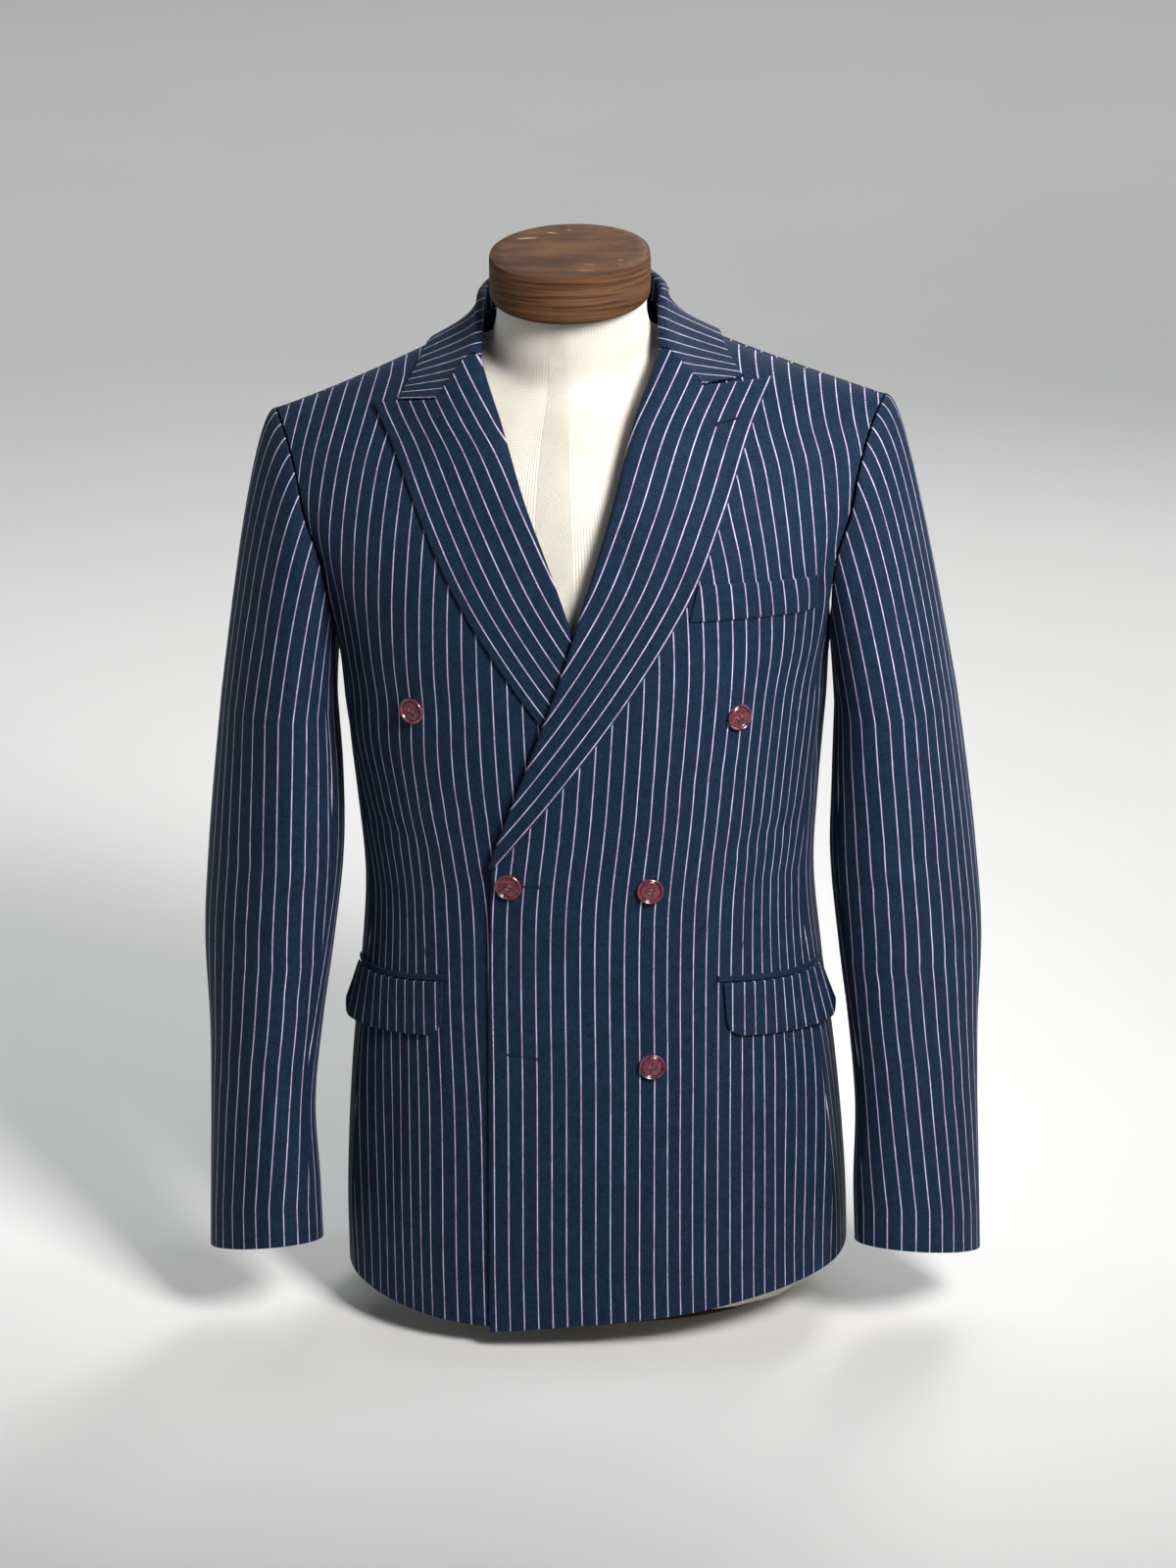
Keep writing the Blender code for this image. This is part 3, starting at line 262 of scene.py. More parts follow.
HOLES = [(x * HOLE_REACH, y * HOLE_REACH) for x in (-1, 1) for y in (-1, 1)]
THREAD_RADIUS, THREAD_SEGMENTS = 0.00020, 8
STRAND_SPACING = 1.5      # in radii of the thread
UPRIGHT = 0.9             # a thread is taken to be upright from here on
THREAD_PATH = table(      # from hole to hole
    "across height",
    (-0.00170, 0.0006),
    (-0.00165, 0.0019),
    (-0.00135, 0.0025),
    (-0.00060, 0.0027),
    (0.00060, 0.0027),
    (0.00135, 0.0025),
    (0.00165, 0.0019),
    (0.00170, 0.0006),
)

# --------------------------------------------------------------- dress form
FORM = table(             # space between the cloth and the form below the shoulders
    "height clear",
    (0.020, 0.026),
    (0.200, 0.018),
    (0.355, 0.009),
    (0.560, 0.0105),
    (0.800, 0.0105),
)
FORM_TOP_CLEAR = 0.0008   # the same on the shoulders, which carry the jacket
FORM_NECK_CLEAR = 0.0090  # and beside the neck
FORM_NECK_REACH = 0.0456  # over which the two pass over
FORM_POWER = 1.45         # rounds the form's shoulders more than the jacket's
FORM_END_X = 0.186        # half width of the form's shoulders
FORM_NECK_Z = 0.788       # the torso's own section ends here
FORM_BLEND = 14.0         # the higher, the sharper the neck meets the shoulders
FORM_SIDES = 28
FORM_FAR, FORM_HALVINGS = 0.3, 26        # search for its skin
FORM_MIDDLE_FROM, FORM_MIDDLE_REACH = 0.70, 0.08    # its axis passes over to the neck's
PLINTH_HEIGHT = 0.020
PLINTH_HALF, PLINTH_FRONT, PLINTH_BACK = 0.135, 0.070, 0.090
NECK = table(             # of the form, up to its block
    "height centre_y half depth",
    (0.720, 0.004, 0.060, 0.060),
    (0.750, -0.001, 0.062, 0.064),
    (0.775, -0.008, 0.060, 0.062),
    (0.795, -0.017, 0.056, 0.057),
    (0.8083, -0.021, 0.056, 0.057),
)
BLOCK_CENTRE = (-0.0030, -0.030, 0.8445)            # middle of the block's top
BLOCK_HALF, BLOCK_DEPTH = 0.0596, 0.0630
BLOCK_TILT = math.radians(6.2)
BLOCK_PROFILE = table(    # inset and depth below the top, from the middle of its rim
    "key shrink drop",
    (0, 0.0075, 0.0000),
    (1, 0.0025, 0.0010),
    (2, 0.0000, 0.0045),
    (3, 0.0006, 0.0310),
    (4, 0.0060, 0.0365),
)
NECK_TILT_FROM = 0.775    # the neck tips forward from here up
PLINTH_PROFILE = table(   # inset and drop from the top
    "key shrink drop",
    (0, 0.0100, 0.0000),
    (1, 0.0060, 0.0040),
    (2, 0.0000, 0.0090),
    (3, 0.0000, 0.0200),
)
CAP_SHRINK = (0.97, 0.85, 0.6, 0.3, 0.05)           # rings over a closed end
FORM_HEIGHTS, FORM_DENSE, FORM_DENSE_FROM = 46, 60, 0.620    # rings, closer near the top
BLOCK_RINGS, BLOCK_SEGMENTS = 30, 96

# ------------------------------------------------------------- soft creases
TURN_SIZE = 0.0028        # metres of cloth for one degree of turn, about
CREASE_FAR = 3            # widths at which a crease has died out
CREASE_ENDS = 0.4         # share of its depth that is left at its ends
CREASES = {               # troughs (+) and ridges (-) of the panels, from a to b
    LEFT: table(
        "turn_a z_a turn_b z_b width depth",
        (-14, 0.402, 12, 0.428, 0.0060, 0.0009),      # pulls from the fastened button
        (-10, 0.372, 20, 0.352, 0.0070, 0.0010),
        (4, 0.448, 40, 0.470, 0.0090, 0.0011),
        (34, 0.400, 66, 0.412, 0.0080, 0.0013),       # waist
        (44, 0.372, 74, 0.368, 0.0070, 0.0009),
        (62, 0.560, 58, 0.660, 0.0100, 0.0022),       # drape beside the armhole
        (52, 0.575, 49, 0.640, 0.0120, -0.0012),
        (44, 0.250, 52, 0.050, 0.0140, 0.0016),       # skirt
        (66, 0.240, 72, 0.060, 0.0150, -0.0022),
        (18, 0.200, 22, 0.060, 0.0160, 0.0010),
        (84, 0.505, 76, 0.440, 0.0080, 0.0018),       # side body
        (100, 0.400, 128, 0.385, 0.0090, 0.0019),
        (96, 0.372, 120, 0.352, 0.0080, 0.0014),
        (100, 0.270, 104, 0.060, 0.0170, 0.0026),
        (124, 0.520, 140, 0.440, 0.0110, 0.0021),     # back
        (136, 0.418, 176, 0.405, 0.0085, 0.0017),
        (142, 0.384, 170, 0.378, 0.0070, 0.0012),
        (128, 0.560, 134, 0.665, 0.0130, 0.0030),
        (140, 0.590, 143, 0.680, 0.0130, -0.0014),
        (138, 0.300, 144, 0.060, 0.0160, -0.0024),
        (158, 0.330, 161, 0.060, 0.0180, 0.0020),
        (160, 0.705, 178, 0.712, 0.0080, 0.0014),     # below the collar
    ),
    RIGHT: table(
        "turn_a z_a turn_b z_b width depth",
        (10, 0.420, 38, 0.446, 0.0080, 0.0011),
        (16, 0.382, 44, 0.362, 0.0080, 0.0009),
        (40, 0.405, 70, 0.417, 0.0080, 0.0014),
        (63, 0.552, 60, 0.650, 0.0100, 0.0021),
        (54, 0.590, 50, 0.668, 0.0120, -0.0011),
        (48, 0.262, 53, 0.060, 0.0140, 0.0014),
        (68, 0.230, 73, 0.050, 0.0150, -0.0020),
        (86, 0.500, 77, 0.446, 0.0080, 0.0016),
        (98, 0.404, 126, 0.392, 0.0090, 0.0021),
        (102, 0.250, 106, 0.070, 0.0170, 0.0024),
        (122, 0.515, 139, 0.452, 0.0110, 0.0019),
        (134, 0.424, 174, 0.414, 0.0085, 0.0019),
        (146, 0.391, 172, 0.388, 0.0070, 0.0010),
        (127, 0.566, 132, 0.655, 0.0130, 0.0028),
        (141, 0.600, 144, 0.688, 0.0130, -0.0015),
        (137, 0.280, 142, 0.060, 0.0160, -0.0022),
        (157, 0.310, 160, 0.060, 0.0180, 0.0018),
        (158, 0.700, 177, 0.709, 0.0080, 0.0013),
    ),
}
FOLDS = {                 # troughs (+) and ridges (-) of the sleeves
    LEFT: table(
        "angle height reach rise tilt depth",
        (70, 0.385, 46, 0.0090, 0.16, 0.0018),          # front of the elbow
        (86, 0.352, 40, 0.0080, 0.10, 0.0022),
        (64, 0.318, 36, 0.0085, -0.06, 0.0014),
        (98, 0.278, 30, 0.0080, -0.12, 0.0011),
        (250, 0.330, 50, 0.0120, 0.10, -0.0016),        # its back
        (268, 0.372, 44, 0.0100, -0.12, 0.0016),
        (276, 0.300, 40, 0.0110, 0.14, 0.0018),
        (60, 0.560, 34, 0.0140, -0.50, 0.0016),         # below the cap
        (292, 0.575, 34, 0.0150, 0.55, 0.0020),
        (300, 0.150, 60, 0.0160, 0.20, 0.0012),
        (40, 0.180, 50, 0.0160, -0.16, 0.0008),
    ),
    RIGHT: table(
        "angle height reach rise tilt depth",
        (74, 0.378, 44, 0.0090, 0.14, 0.0016),
        (84, 0.344, 42, 0.0085, 0.08, 0.0021),
        (60, 0.306, 34, 0.0085, -0.08, 0.0013),
        (100, 0.268, 32, 0.0080, -0.14, 0.0012),
        (248, 0.338, 50, 0.0120, 0.12, -0.0015),
        (266, 0.380, 44, 0.0100, -0.10, 0.0017),
        (274, 0.306, 42, 0.0110, 0.12, 0.0016),
        (58, 0.548, 34, 0.0140, -0.50, 0.0015),
        (290, 0.582, 36, 0.0150, 0.50, 0.0021),
        (296, 0.164, 60, 0.0160, 0.18, 0.0011),
        (44, 0.196, 50, 0.0160, -0.20, 0.0009),
    ),
}

# ------------------------------------------------------------------ stripes
PITCH = 0.01115           # between the stripes of the cloth
GRAIN_AT = (5.0, 11.0, 16.0)            # near, middle and far, in stripes from the middle
GRAIN = {                 # how many stripes a front's cut is off there, by height
    LEFT: table(
        "height near middle far",
        (0.066, -1.42, -2.28, -3.28),
        (0.207, -1.18, -2.07, -2.75),
        (0.352, -0.95, -1.55, -3.35),
        (0.434, -0.08, -0.56, -1.85),
        (0.512, 0.53, 0.42, -0.50),
        (0.550, 0.70, 0.70, 0.45),
        (0.589, 0.62, 0.62, 0.30),
        (0.623, 0.40, 0.30, -0.39),
        (0.657, -0.20, -0.40, -0.85),
        (0.690, -0.80, -1.10, -1.38),
        (0.714, -1.50, -1.80, -2.15),
        (0.750, -2.80, -2.80, -2.80),
        (0.780, -3.20, -3.20, -3.20),
    ),
    RIGHT: table(
        "height near middle far",
        (0.070, 7.27, 7.21, 5.70),
        (0.190, 7.26, 7.00, 5.93),
        (0.268, 7.50, 7.13, 5.83),
        (0.353, 7.42, 7.28, 5.30),
        (0.395, 7.92, 7.53, 6.20),
        (0.436, 8.22, 8.25, 7.25),
        (0.475, 8.38, 8.56, 8.38),
        (0.513, 8.46, 8.49, 8.45),
        (0.545, 8.48, 8.62, 8.84),
        (0.590, 8.46, 8.44, 8.65),
        (0.625, 8.25, 8.13, 8.20),
        (0.660, 7.78, 7.72, 7.70),
        (0.695, 7.30, 7.10, 7.00),
        (0.720, 6.50, 6.30, 6.28),
        (0.750, 5.60, 5.40, 5.40),
    ),
}
SLEEVE_GRAIN = table(     # stripes that the sleeve's cut is off, by height
    "height left right",
    (0.094, -2.54, -1.99),
    (0.210, -1.28, -0.87),
    (0.290, -0.12, 0.27),
    (0.374, 0.16, 0.63),
    (0.448, 0.37, 0.71),
    (0.700, 0.37, 0.71),
)
SLEEVE_EASE = table(      # stripes that the front of the sleeve gains, short of the 7th
    "short gain",
    (0.0, 0.00),
    (1.2, 0.20),
    (2.6, 0.55),
    (4.0, 0.95),
    (5.6, 1.60),
    (7.8, 2.80),
)
EASE_FROM, EASE_SHARE = 7.0, {LEFT: 0.2, RIGHT: 0.5}
LapelGrain = namedtuple("LapelGrain", "start pitch")
LAPEL_GRAIN = {LEFT: LapelGrain(0.0020, 0.0122), RIGHT: LapelGrain(0.0083, 0.0120)}
FAN_SLOPE = math.radians(18.5)          # the collar's stripes fan out, seen from here
FAN_X, FAN_Z, FAN_FIRST, FAN_STEP = 0.196, 0.691, 0.136, 0.066

# --------------------------------------------------------------- finer grids
EDGE_LINES = (0.0004, 0.0012)           # grid lines added beside every edge
EDGE_DROP = (0.50, 0.17, 0.00)          # rounding there, in thicknesses
LINE_CAPS = (0.25, 0.60)                # their most, as shares of the first step of the grid
TINY = 1e-12              # least length that a normal is divided by
LEAST_CUT = 0.0101        # the narrowest cut that flat_size() gives; the jets have a fold in it
ARC_HEIGHTS, ARC_TURNS = 86, np.linspace(0, 180, 361)    # where lengths round it are taken
ARC_ANGLES = list(range(-180, 271, 3))                   # and round a sleeve
LEAST_RISE = 1e-9         # keeps the heights along a column of the cap rising
EDGE_LAST = 12            # rows of the lapel whose edge gives its direction
FLAP_COLUMNS, JET_ROWS, WELT_COLUMNS = 30, 5, 48

# ------------------------------------------------------------ looks and stage
CLOTH_DARK, CLOTH_LIGHT = (0.0010, 0.0050, 0.0150, 1.0), (0.0050, 0.0170, 0.0410, 1.0)
CLOTH_GREY = (0.0100, 0.0230, 0.0520, 1.0)
STRIPE_PURPLE = (0.0200, 0.0120, 0.0330, 1.0)
STRIPE_DARK, STRIPE_LIGHT = (0.2250, 0.1550, 0.2500, 1.0), (0.4150, 0.4200, 0.5900, 1.0)
STRIPE_HALF, STRIPE_EDGE, STRIPE_FLANK, STRIPE_WAVER = 0.00026, 0.00055, 0.00125, 0.00016
STRIPE_STITCH, TWILL = 0.0016, 0.0009
SHEEN, SHEEN_TINT = 0.03, (0.50, 0.72, 1.0, 1.0)
BUTTON_DARK, BUTTON_LIGHT = (0.0360, 0.0060, 0.0110, 1.0), (0.1300, 0.0240, 0.0370, 1.0)
THREAD_DARK, THREAD_LIGHT = (0.0900, 0.0300, 0.0380, 1.0), (0.3000, 0.1500, 0.1600, 1.0)
NAVY_THREAD_DARK = (0.0012, 0.0030, 0.0080, 1.0)
NAVY_THREAD_LIGHT = (0.0050, 0.0120, 0.0280, 1.0)
JERSEY_RIBS, JERSEY_LOOP = 330, 0.0016
JERSEY_LIGHT, JERSEY_SOILED = (0.6200, 0.5900, 0.5300, 1.0), (0.5000, 0.4600, 0.3900, 1.0)
# painted shade for the hollows of the jersey's ribs
JERSEY_RIB_SHADE = (0.3200, 0.2900, 0.2400, 1.0)
WOOD_STRETCH, PORE_STRETCH = (14.0, 14.0, 420.0), (4.0, 4.0, 4.0)
WOOD_DARK, WOOD_LIGHT = (0.0300, 0.0130, 0.0065, 1.0), (0.1150, 0.0560, 0.0270, 1.0)
CHIP_FROM, CHIP_TO = 0.836, 0.846
WOOD_PORE, WOOD_CHIP = (0.0120, 0.0060, 0.0040, 1.0), (0.3000, 0.2100, 0.1400, 1.0)
FLOOR_A, FLOOR_B = (0.6000, 0.6000, 0.5950, 1.0), (0.6400, 0.6400, 0.6350, 1.0)
FLOOR_START, FLOOR_FLAT, FLOOR_CURVE = 0.01, 8.0, 3.0    # radii: flat part and curved edge
FLOOR_RINGS, FLOOR_SEGMENTS = 12, 96
AIM = (0.0, 0.0, 0.419)
CAMERA_ANGLES = (3.8, 18.5, -1.25)      # round from the front, above it, roll
CAMERA_DISTANCE, CAMERA_FOCUS = 4.2, 5586.0
IMAGE_HEIGHT, SENSOR = 1600, 36.0
KEY_AIM = (0.13, -0.05, 0.66)
WARM, COOL, WHITE = (1.0, 0.98, 0.96), (0.90, 0.96, 1.0), (1.0, 1.0, 1.0)
LIGHTS = table(
    "name place size power colour aim spread",
    ("key_light", (1.25, -1.75, 2.0), (0.8, 0.8), 13.5, WARM, KEY_AIM, 50),
    ("fill_light", (-2.4, -2.6, 1.6), (1.6, 1.6), 6.0, COOL, AIM, 180),
    ("right_strip", (-2.3, 0.6, 1.3), (0.5, 2.0), 13.0, COOL, AIM, 180),
    ("left_strip", (2.3, 0.6, 1.3), (0.5, 2.0), 18.0, COOL, AIM, 180),
    ("back_strip", (0.9, 2.6, 2.0), (1.0, 1.0), 20.0, WARM, AIM, 120),
    ("floor_light_back", (0.0, 4.5, 4.5), (7.0, 4.0), 190.0, WHITE, (0.0, 5.0, 0.0), 180),
    ("floor_light_front", (0.0, -6.0, 4.5), (7.0, 3.0), 100.0, WHITE, (0.0, -8.0, 0.0), 130),
    ("floor_light_right", (-6.0, 0.0, 4.5), (3.0, 7.0), 100.0, WHITE, (-8.0, 0.0, 0.0), 130),
    ("floor_light_left", (6.0, 0.0, 4.5), (3.0, 7.0), 100.0, WHITE, (8.0, 0.0, 0.0), 130),
)
WORLD_COLOUR, WORLD_STRENGTH = (0.92, 0.95, 1.00), 0.11

# ------------------------------------------------------- stitches and tacks
STITCH_IN, STITCH_PITCH, STITCH_LONG, STITCH_RADIUS = 0.0042, 0.0050, 0.0014, 0.00022
STITCH_ENDS, STITCH_RISE = 0.006, 0.00012
STITCH_PATH = ((0.0, -STITCH_RISE * 2), (0.3, STITCH_RISE), (0.7, STITCH_RISE),
               (1.0, -STITCH_RISE * 2))
GORGE_FROM_EDGE = 20      # columns of the lapel between its peak and the notch
*SLITS, LAPEL_SLIT = table(             # buttonholes of the left front, and its lapel's
    "name x_a z_a x_b z_b",
    ("buttonhole_fastened", -0.0560, 0.3796, -0.0306, 0.3805),
    ("buttonhole_lower", -0.0585, 0.2440, -0.0338, 0.2412),
    ("buttonhole_lapel", 0.1080, 0.7222, 0.1243, 0.7234),
)
BAR_PITCH, BAR_LONG, BAR_RADIUS, BAR_RISE = 0.00050, 0.00085, 0.00027, 0.00018
BAR_SEGMENTS, BAR_UNEVEN, BAR_PHASE = 6, 0.12, 2.4      # their length varies a little
BAR_PATH = ((0.08, -1), (0.25, 1), (0.8, 1), (1.0, -1))        # place and rise
KNOT_HALF, KNOT_SPACING = 0.0021, 1.8   # the bar tack at the slit's end
KNOT_PATH = ((-1.0, -1), (-0.7, 2), (0.7, 2), (1.0, -1))
TACKS = {LEFT: (0.1012, 0.2950), RIGHT: (0.1052, 0.2920)}      # at the jets' inner ends
TACK_HEIGHT, TACK_WIDTH, TACK_SPARE, TACK_BARS = 0.0085, 0.0022, (0.0003, 0.0004), 17
DART = table(             # seam from the chest down to the pocket
    "height x",
    (0.290, 0.1170),
    (0.395, 0.1290),
    (0.508, 0.1400),
)
DART_ROWS, DART_HALF, DART_SUNK = 40, 0.00035, 0.00035 * 0.4


def read(rows, column, at):
    """Smooth value of a column where the first column has the value `at`."""
    keys = [row[0] for row in rows]
    values = [getattr(row, column) for row in rows]
    at = min(max(at, keys[0]), keys[-1])
    last = len(keys) - 1
    low = next((i for i in range(last) if at <= keys[i + 1]), last - 1)
    span = keys[low + 1] - keys[low]
    share = (at - keys[low]) / span

    def slope(i):
        before, after = max(i - 1, 0), min(i + 1, last)
        return (values[after] - values[before]) / (keys[after] - keys[before]) * span

    square, cube = share ** 2, share ** 3
    return (values[low] * (2 * cube - 3 * square + 1)
            + slope(low) * (cube - 2 * square + share)
            + values[low + 1] * (3 * square - 2 * cube)
            + slope(low + 1) * (cube - square))


def smooth(share):
    """Ease from 0 to 1."""
    share = min(max(share, 0.0), 1.0)
    return share * share * (3 - 2 * share)


def mix(start, end, share):
    return start + (end - start) * share


def sin_cos(degrees):
    return math.sin(math.radians(degrees)), math.cos(math.radians(degrees))


# ------------------------------------------------------------ the body's form
def ridge(x, back=False):
    """Depth and height of the line where front and back meet on the shoulder."""
    share = (abs(x) - NECK_X) / (SHOULDER_X - NECK_X)
    y = mix(NECK_Y, 0.0, max(share, 0.0))
    z = mix(NECK_Z, SHOULDER_Z, share) - 4 * SHOULDER_SAG * max(share * (1 - share), 0.0)
    if back and abs(x) < NECK_X:
        arc = math.sqrt(1 - (x / NECK_X) ** 2)
        y = mix(NECK_Y, NAPE_Y, arc)
        z = NECK_Z + NAPE_RISE * arc ** 2
    return y, z


def turn_at(x, height):
    """Degrees round from the front at which a section has this half width."""
    share = min(abs(x) / read(BODY, "half", height), 1.0) ** (SQUARENESS / 2)
    return math.copysign(math.degrees(math.asin(share)), x)


def section_xy(turn, height):
    """Point of the plain section."""
    sine, cosine = sin_cos(turn)
    half = read(BODY, "half", height)
    depth = read(BODY, "front" if cosine > 0 else "back", height)
    x = half * math.copysign(abs(sine) ** (2 / SQUARENESS), sine)
    y = -depth * math.copysign(abs(cosine) ** (2 / SQUARENESS), cosine)
    return x, y


def close_over(x, y, height, back, lower=0.0, power=SHOULDER_POWER):
    """Bring a section's depth in to the shoulder seam near its top."""
    ridge_y, ridge_z = ridge(x, back)
    share = min(max((ridge_z - lower - height) / SHOULDER_ROUND, 0.0), 1.0)
    return mix(ridge_y, y, (1 - (1 - share) ** 2) ** (1 / power))


def lap_lift(x, height, side):
    """How far the left front stands off for the layers that it laps over."""
    if side == RIGHT:
        return 0.0
    return read(LAP, "lift", height) * (1 - smooth((x - LAP_END) / LAP_FADE))


def crease_depth(turn, height, side):
    """How far the panel's soft creases lie below its plain form."""
    total = 0.0
    for crease in CREASES[side]:
        across, up = (turn - crease.turn_a) * TURN_SIZE, height - crease.z_a
        run_x, run_z = (crease.turn_b - crease.turn_a) * TURN_SIZE, crease.z_b - crease.z_a
        share = (across * run_x + up * run_z) / (run_x ** 2 + run_z ** 2)
        share = min(max(share, 0.0), 1.0)
        away = math.hypot(across - run_x * share, up - run_z * share) / crease.width
        if away < CREASE_FAR:
            full = CREASE_ENDS + (1 - CREASE_ENDS) * math.sin(math.pi * share)
            total += crease.depth * math.exp(-away ** 2) * full
    return total


def body_point(turn, height, side):
    """Point of the jacket's outer face."""
    x, y = section_xy(turn, height)
    y = close_over(x, y, height, back=turn > 90)
    if turn < 90:
        y -= lap_lift(x, height, side)
    depth = crease_depth(turn, height, side)
    sine, cosine = sin_cos(turn)
    return Vector((x - depth * sine, y + depth * cosine, height))


def body_normal(turn, height, side):
    """Outward direction of the outer face."""
    step_turn, step_height = NORMAL_STEP
    x, _ = section_xy(turn, height)
    height = min(height, ridge(x, turn > 90)[1] - 2 * step_height)
    turning = (body_point(turn + step_turn, height, side)
               - body_point(turn - step_turn, height, side))
    rising = (body_point(turn, height + step_height, side)
              - body_point(turn, height - step_height, side))
    return turning.cross(rising).normalized()


def over_body(turn, height, side, lift):
    """Point lifted off the outer face."""
    return body_point(turn, height, side) + body_normal(turn, height, side) * lift


def over_front(x, height, side, lift=0.0):
    """Point over the front, at a distance from its middle."""
    return over_body(turn_at(x, height), height, side, lift)


def turn_over(vector, side):
    """A direction of one side, in the shared frame."""
    return Vector((vector.x * side, vector.y, vector.z))


def settle(point):
    """Raise the left shoulder, lower the right one and shift the neck opening."""
    return Vector(settle_all(np.array(point), 1))


def to_side(point, side):
    """A point of one side, in the shared frame."""
    return settle(turn_over(point, side))


def side_name(side):
    return "left" if side == LEFT else "right"


def steps(count, start=0.0, end=1.0):
    return [mix(start, end, i / (count - 1)) for i in range(count)]


def arm_point(angle):
    """Armhole edge as turn and height: 0 the shoulder, 90 front, 180 underarm."""
    away = min(angle, 360 - angle)
    height = mix(ARM_BOTTOM_Z, SHOULDER_Z, (1 + math.cos(math.radians(away))) / 2)
    turn = turn_at(read(ARMHOLE, "share", away) * read(BODY, "half", height), height)
    return (180 - turn if angle > 180 else turn), height


def arm_angles(start, end):
    """Stations along the armhole from a side seam up to the shoulder."""
    return [mix(end, start, (1 - step) ** ARM_SPACING) for step in steps(ARM_ROWS)]


def side_angles():
    return steps(SIDE_COLUMNS, FRONT_SEAM_ARM, BACK_SEAM_ARM)


def seam_turn(height, at_hem, arm_angle):
    """A side seam runs from the hem to its place on the armhole."""
    top_turn, top_height = arm_point(arm_angle)
    return mix(at_hem, top_turn, smooth(height / top_height))


def front_seam(height):
    return seam_turn(height, FRONT_SEAM_TURN, FRONT_SEAM_ARM)


def back_seam(height):
    return seam_turn(height, BACK_SEAM_TURN, BACK_SEAM_ARM)


def skirt_rows(turn_low, turn_high, columns, side):
    """Turns and heights of rows from the hem up to the lapels' break."""
    rows = []
    for rise in steps(SKIRT_ROWS):
        row = []
        for share in columns:
            turn = mix(turn_low(BREAK_Z * rise), turn_high(BREAK_Z * rise), share)
            height = mix(read(HEM, side_name(side), turn), BREAK_Z, rise)
            row.append((mix(turn_low(height), turn_high(height), share), height))
        rows.append(row)
    return rows


def yoke_rows(line_low, line_high, back, columns, top=None):
    """The same above the break, between two edges that have as many points each."""
    rows = []
    last = len(line_low) - 1
    for k, ((turn_a, z_a), (turn_b, z_b)) in enumerate(zip(line_low, line_high)):
        drops = [ridge(section_xy(t, z)[0], back)[1] - z for t, z in ((turn_a, z_a), (turn_b, z_b))]
        weight = smooth(k / last)
        row = []
        for i, share in enumerate(columns):
            place = mix(share, top[i], weight) if top else share
            turn, level = mix(turn_a, turn_b, place), mix(z_a, z_b, place)
            height = level
            for _ in range(LEVEL_ROUNDS):
                under = ridge(section_xy(turn, height)[0], back)[1] - mix(*drops, place)
                height = mix(level, under, weight)
            row.append((turn, height))
        rows.append(row)
    return rows[1:]


def front_edge_turn(height):
    return turn_at(-read(FRONT_EDGE, "edge", height), height)


def outer_line(seam, arm_start, arm_end):
    """Side seam above the break and then the armhole, as turns and heights."""
    heights = steps(SEAM_ROWS, BREAK_Z, arm_point(arm_start)[1])
    line = [(seam(z), z) for z in heights[:-1]]
    return line + [arm_point(angle) for angle in arm_angles(arm_start, arm_end)]


# -------------------------------------------------------------- the cut's map
def run_along(points):
    """Length along a line, at each of its points."""
    return np.concatenate([[0], np.cumsum(np.linalg.norm(np.diff(points, axis=0), axis=1))])


def arc_table():
    """Length round the plain section from the middle of the front, by height and turn."""
    heights = np.linspace(BODY[0].height, BODY[-1].height, ARC_HEIGHTS)
    return np.array([run_along([section_xy(turn, height) for turn in ARC_TURNS])
                     for height in heights])


ARCS = arc_table()


def arc(turn, height):
    """The same length at one turn and height."""
    at = (height - BODY[0].height) / (BODY[-1].height - BODY[0].height) * (ARC_HEIGHTS - 1)
    low = min(max(int(at), 0), ARC_HEIGHTS - 2)
    row = ARCS[low] + (ARCS[low + 1] - ARCS[low]) * (at - low)
    return math.copysign(np.interp(abs(turn), ARC_TURNS, row), turn)


def front_u(turn, height, side):
    """Place across the cut of a front, whose stripes are at whole pitches."""
    here = arc(turn, height) / PITCH
    off = [read(GRAIN[side], name, height) for name in ("near", "middle", "far")]
    return (here - np.interp(here, GRAIN_AT, off)) * PITCH


def side_u(turn, height, side):
    """The side panel's stripes run parallel to its middle."""
    return arc(turn, height) - arc((front_seam(height) + back_seam(height)) / 2, height)


def back_u(turn, height, side):
    """The back's run parallel to its centre seam, which lies half way between two."""
    return arc(180, height) - arc(turn, height) + PITCH / 2


# ------------------------------------------------------------------ the shells
def add_lines(grid):
    """Two more lines close to each edge of a grid, so that it can be rounded."""
    def near(edge, inner):
        length = np.linalg.norm((inner - edge)[..., :3], axis=-1, keepdims=True)
        return [edge + (inner - edge) * np.minimum(line / length, cap)
                for line, cap in zip(EDGE_LINES, LINE_CAPS)]

    for _ in range(2):
        low, high = near(grid[:1], grid[1:2]), near(grid[-1:], grid[-2:-1])
        grid = np.concatenate([grid[:1], *low, grid[1:-1], *high[::-1], grid[-1:]])
        grid = grid.swapaxes(0, 1)
    return grid


def settle_all(points, side):
    """Side-local points in the shared frame, as to_side() does it for one."""
    def ease(share):
        share = np.clip(share, 0.0, 1.0)
        return share * share * (3 - 2 * share)

    x, y, z = points[..., 0] * side, points[..., 1], points[..., 2]
    high = ease((z - LEAN_Z) / LEAN_REACH) * (1 - ease((z - LEVEL_Z) / LEVEL_REACH))
    near = ease((z - LEAN_Z) / SHIFT_REACH) * (1 - ease((abs(x) - NECK_X) / LEAN_REACH))
    return np.stack([x + NECK_SHIFT * near, y, z + LEAN * x * high], axis=-1)


def grid_normals(points):
    across, up = np.gradient(points, axis=1), np.gradient(points, axis=0)
    normals = np.cross(across, up)
    return normals / np.maximum(np.linalg.norm(normals, axis=-1, keepdims=True), TINY)


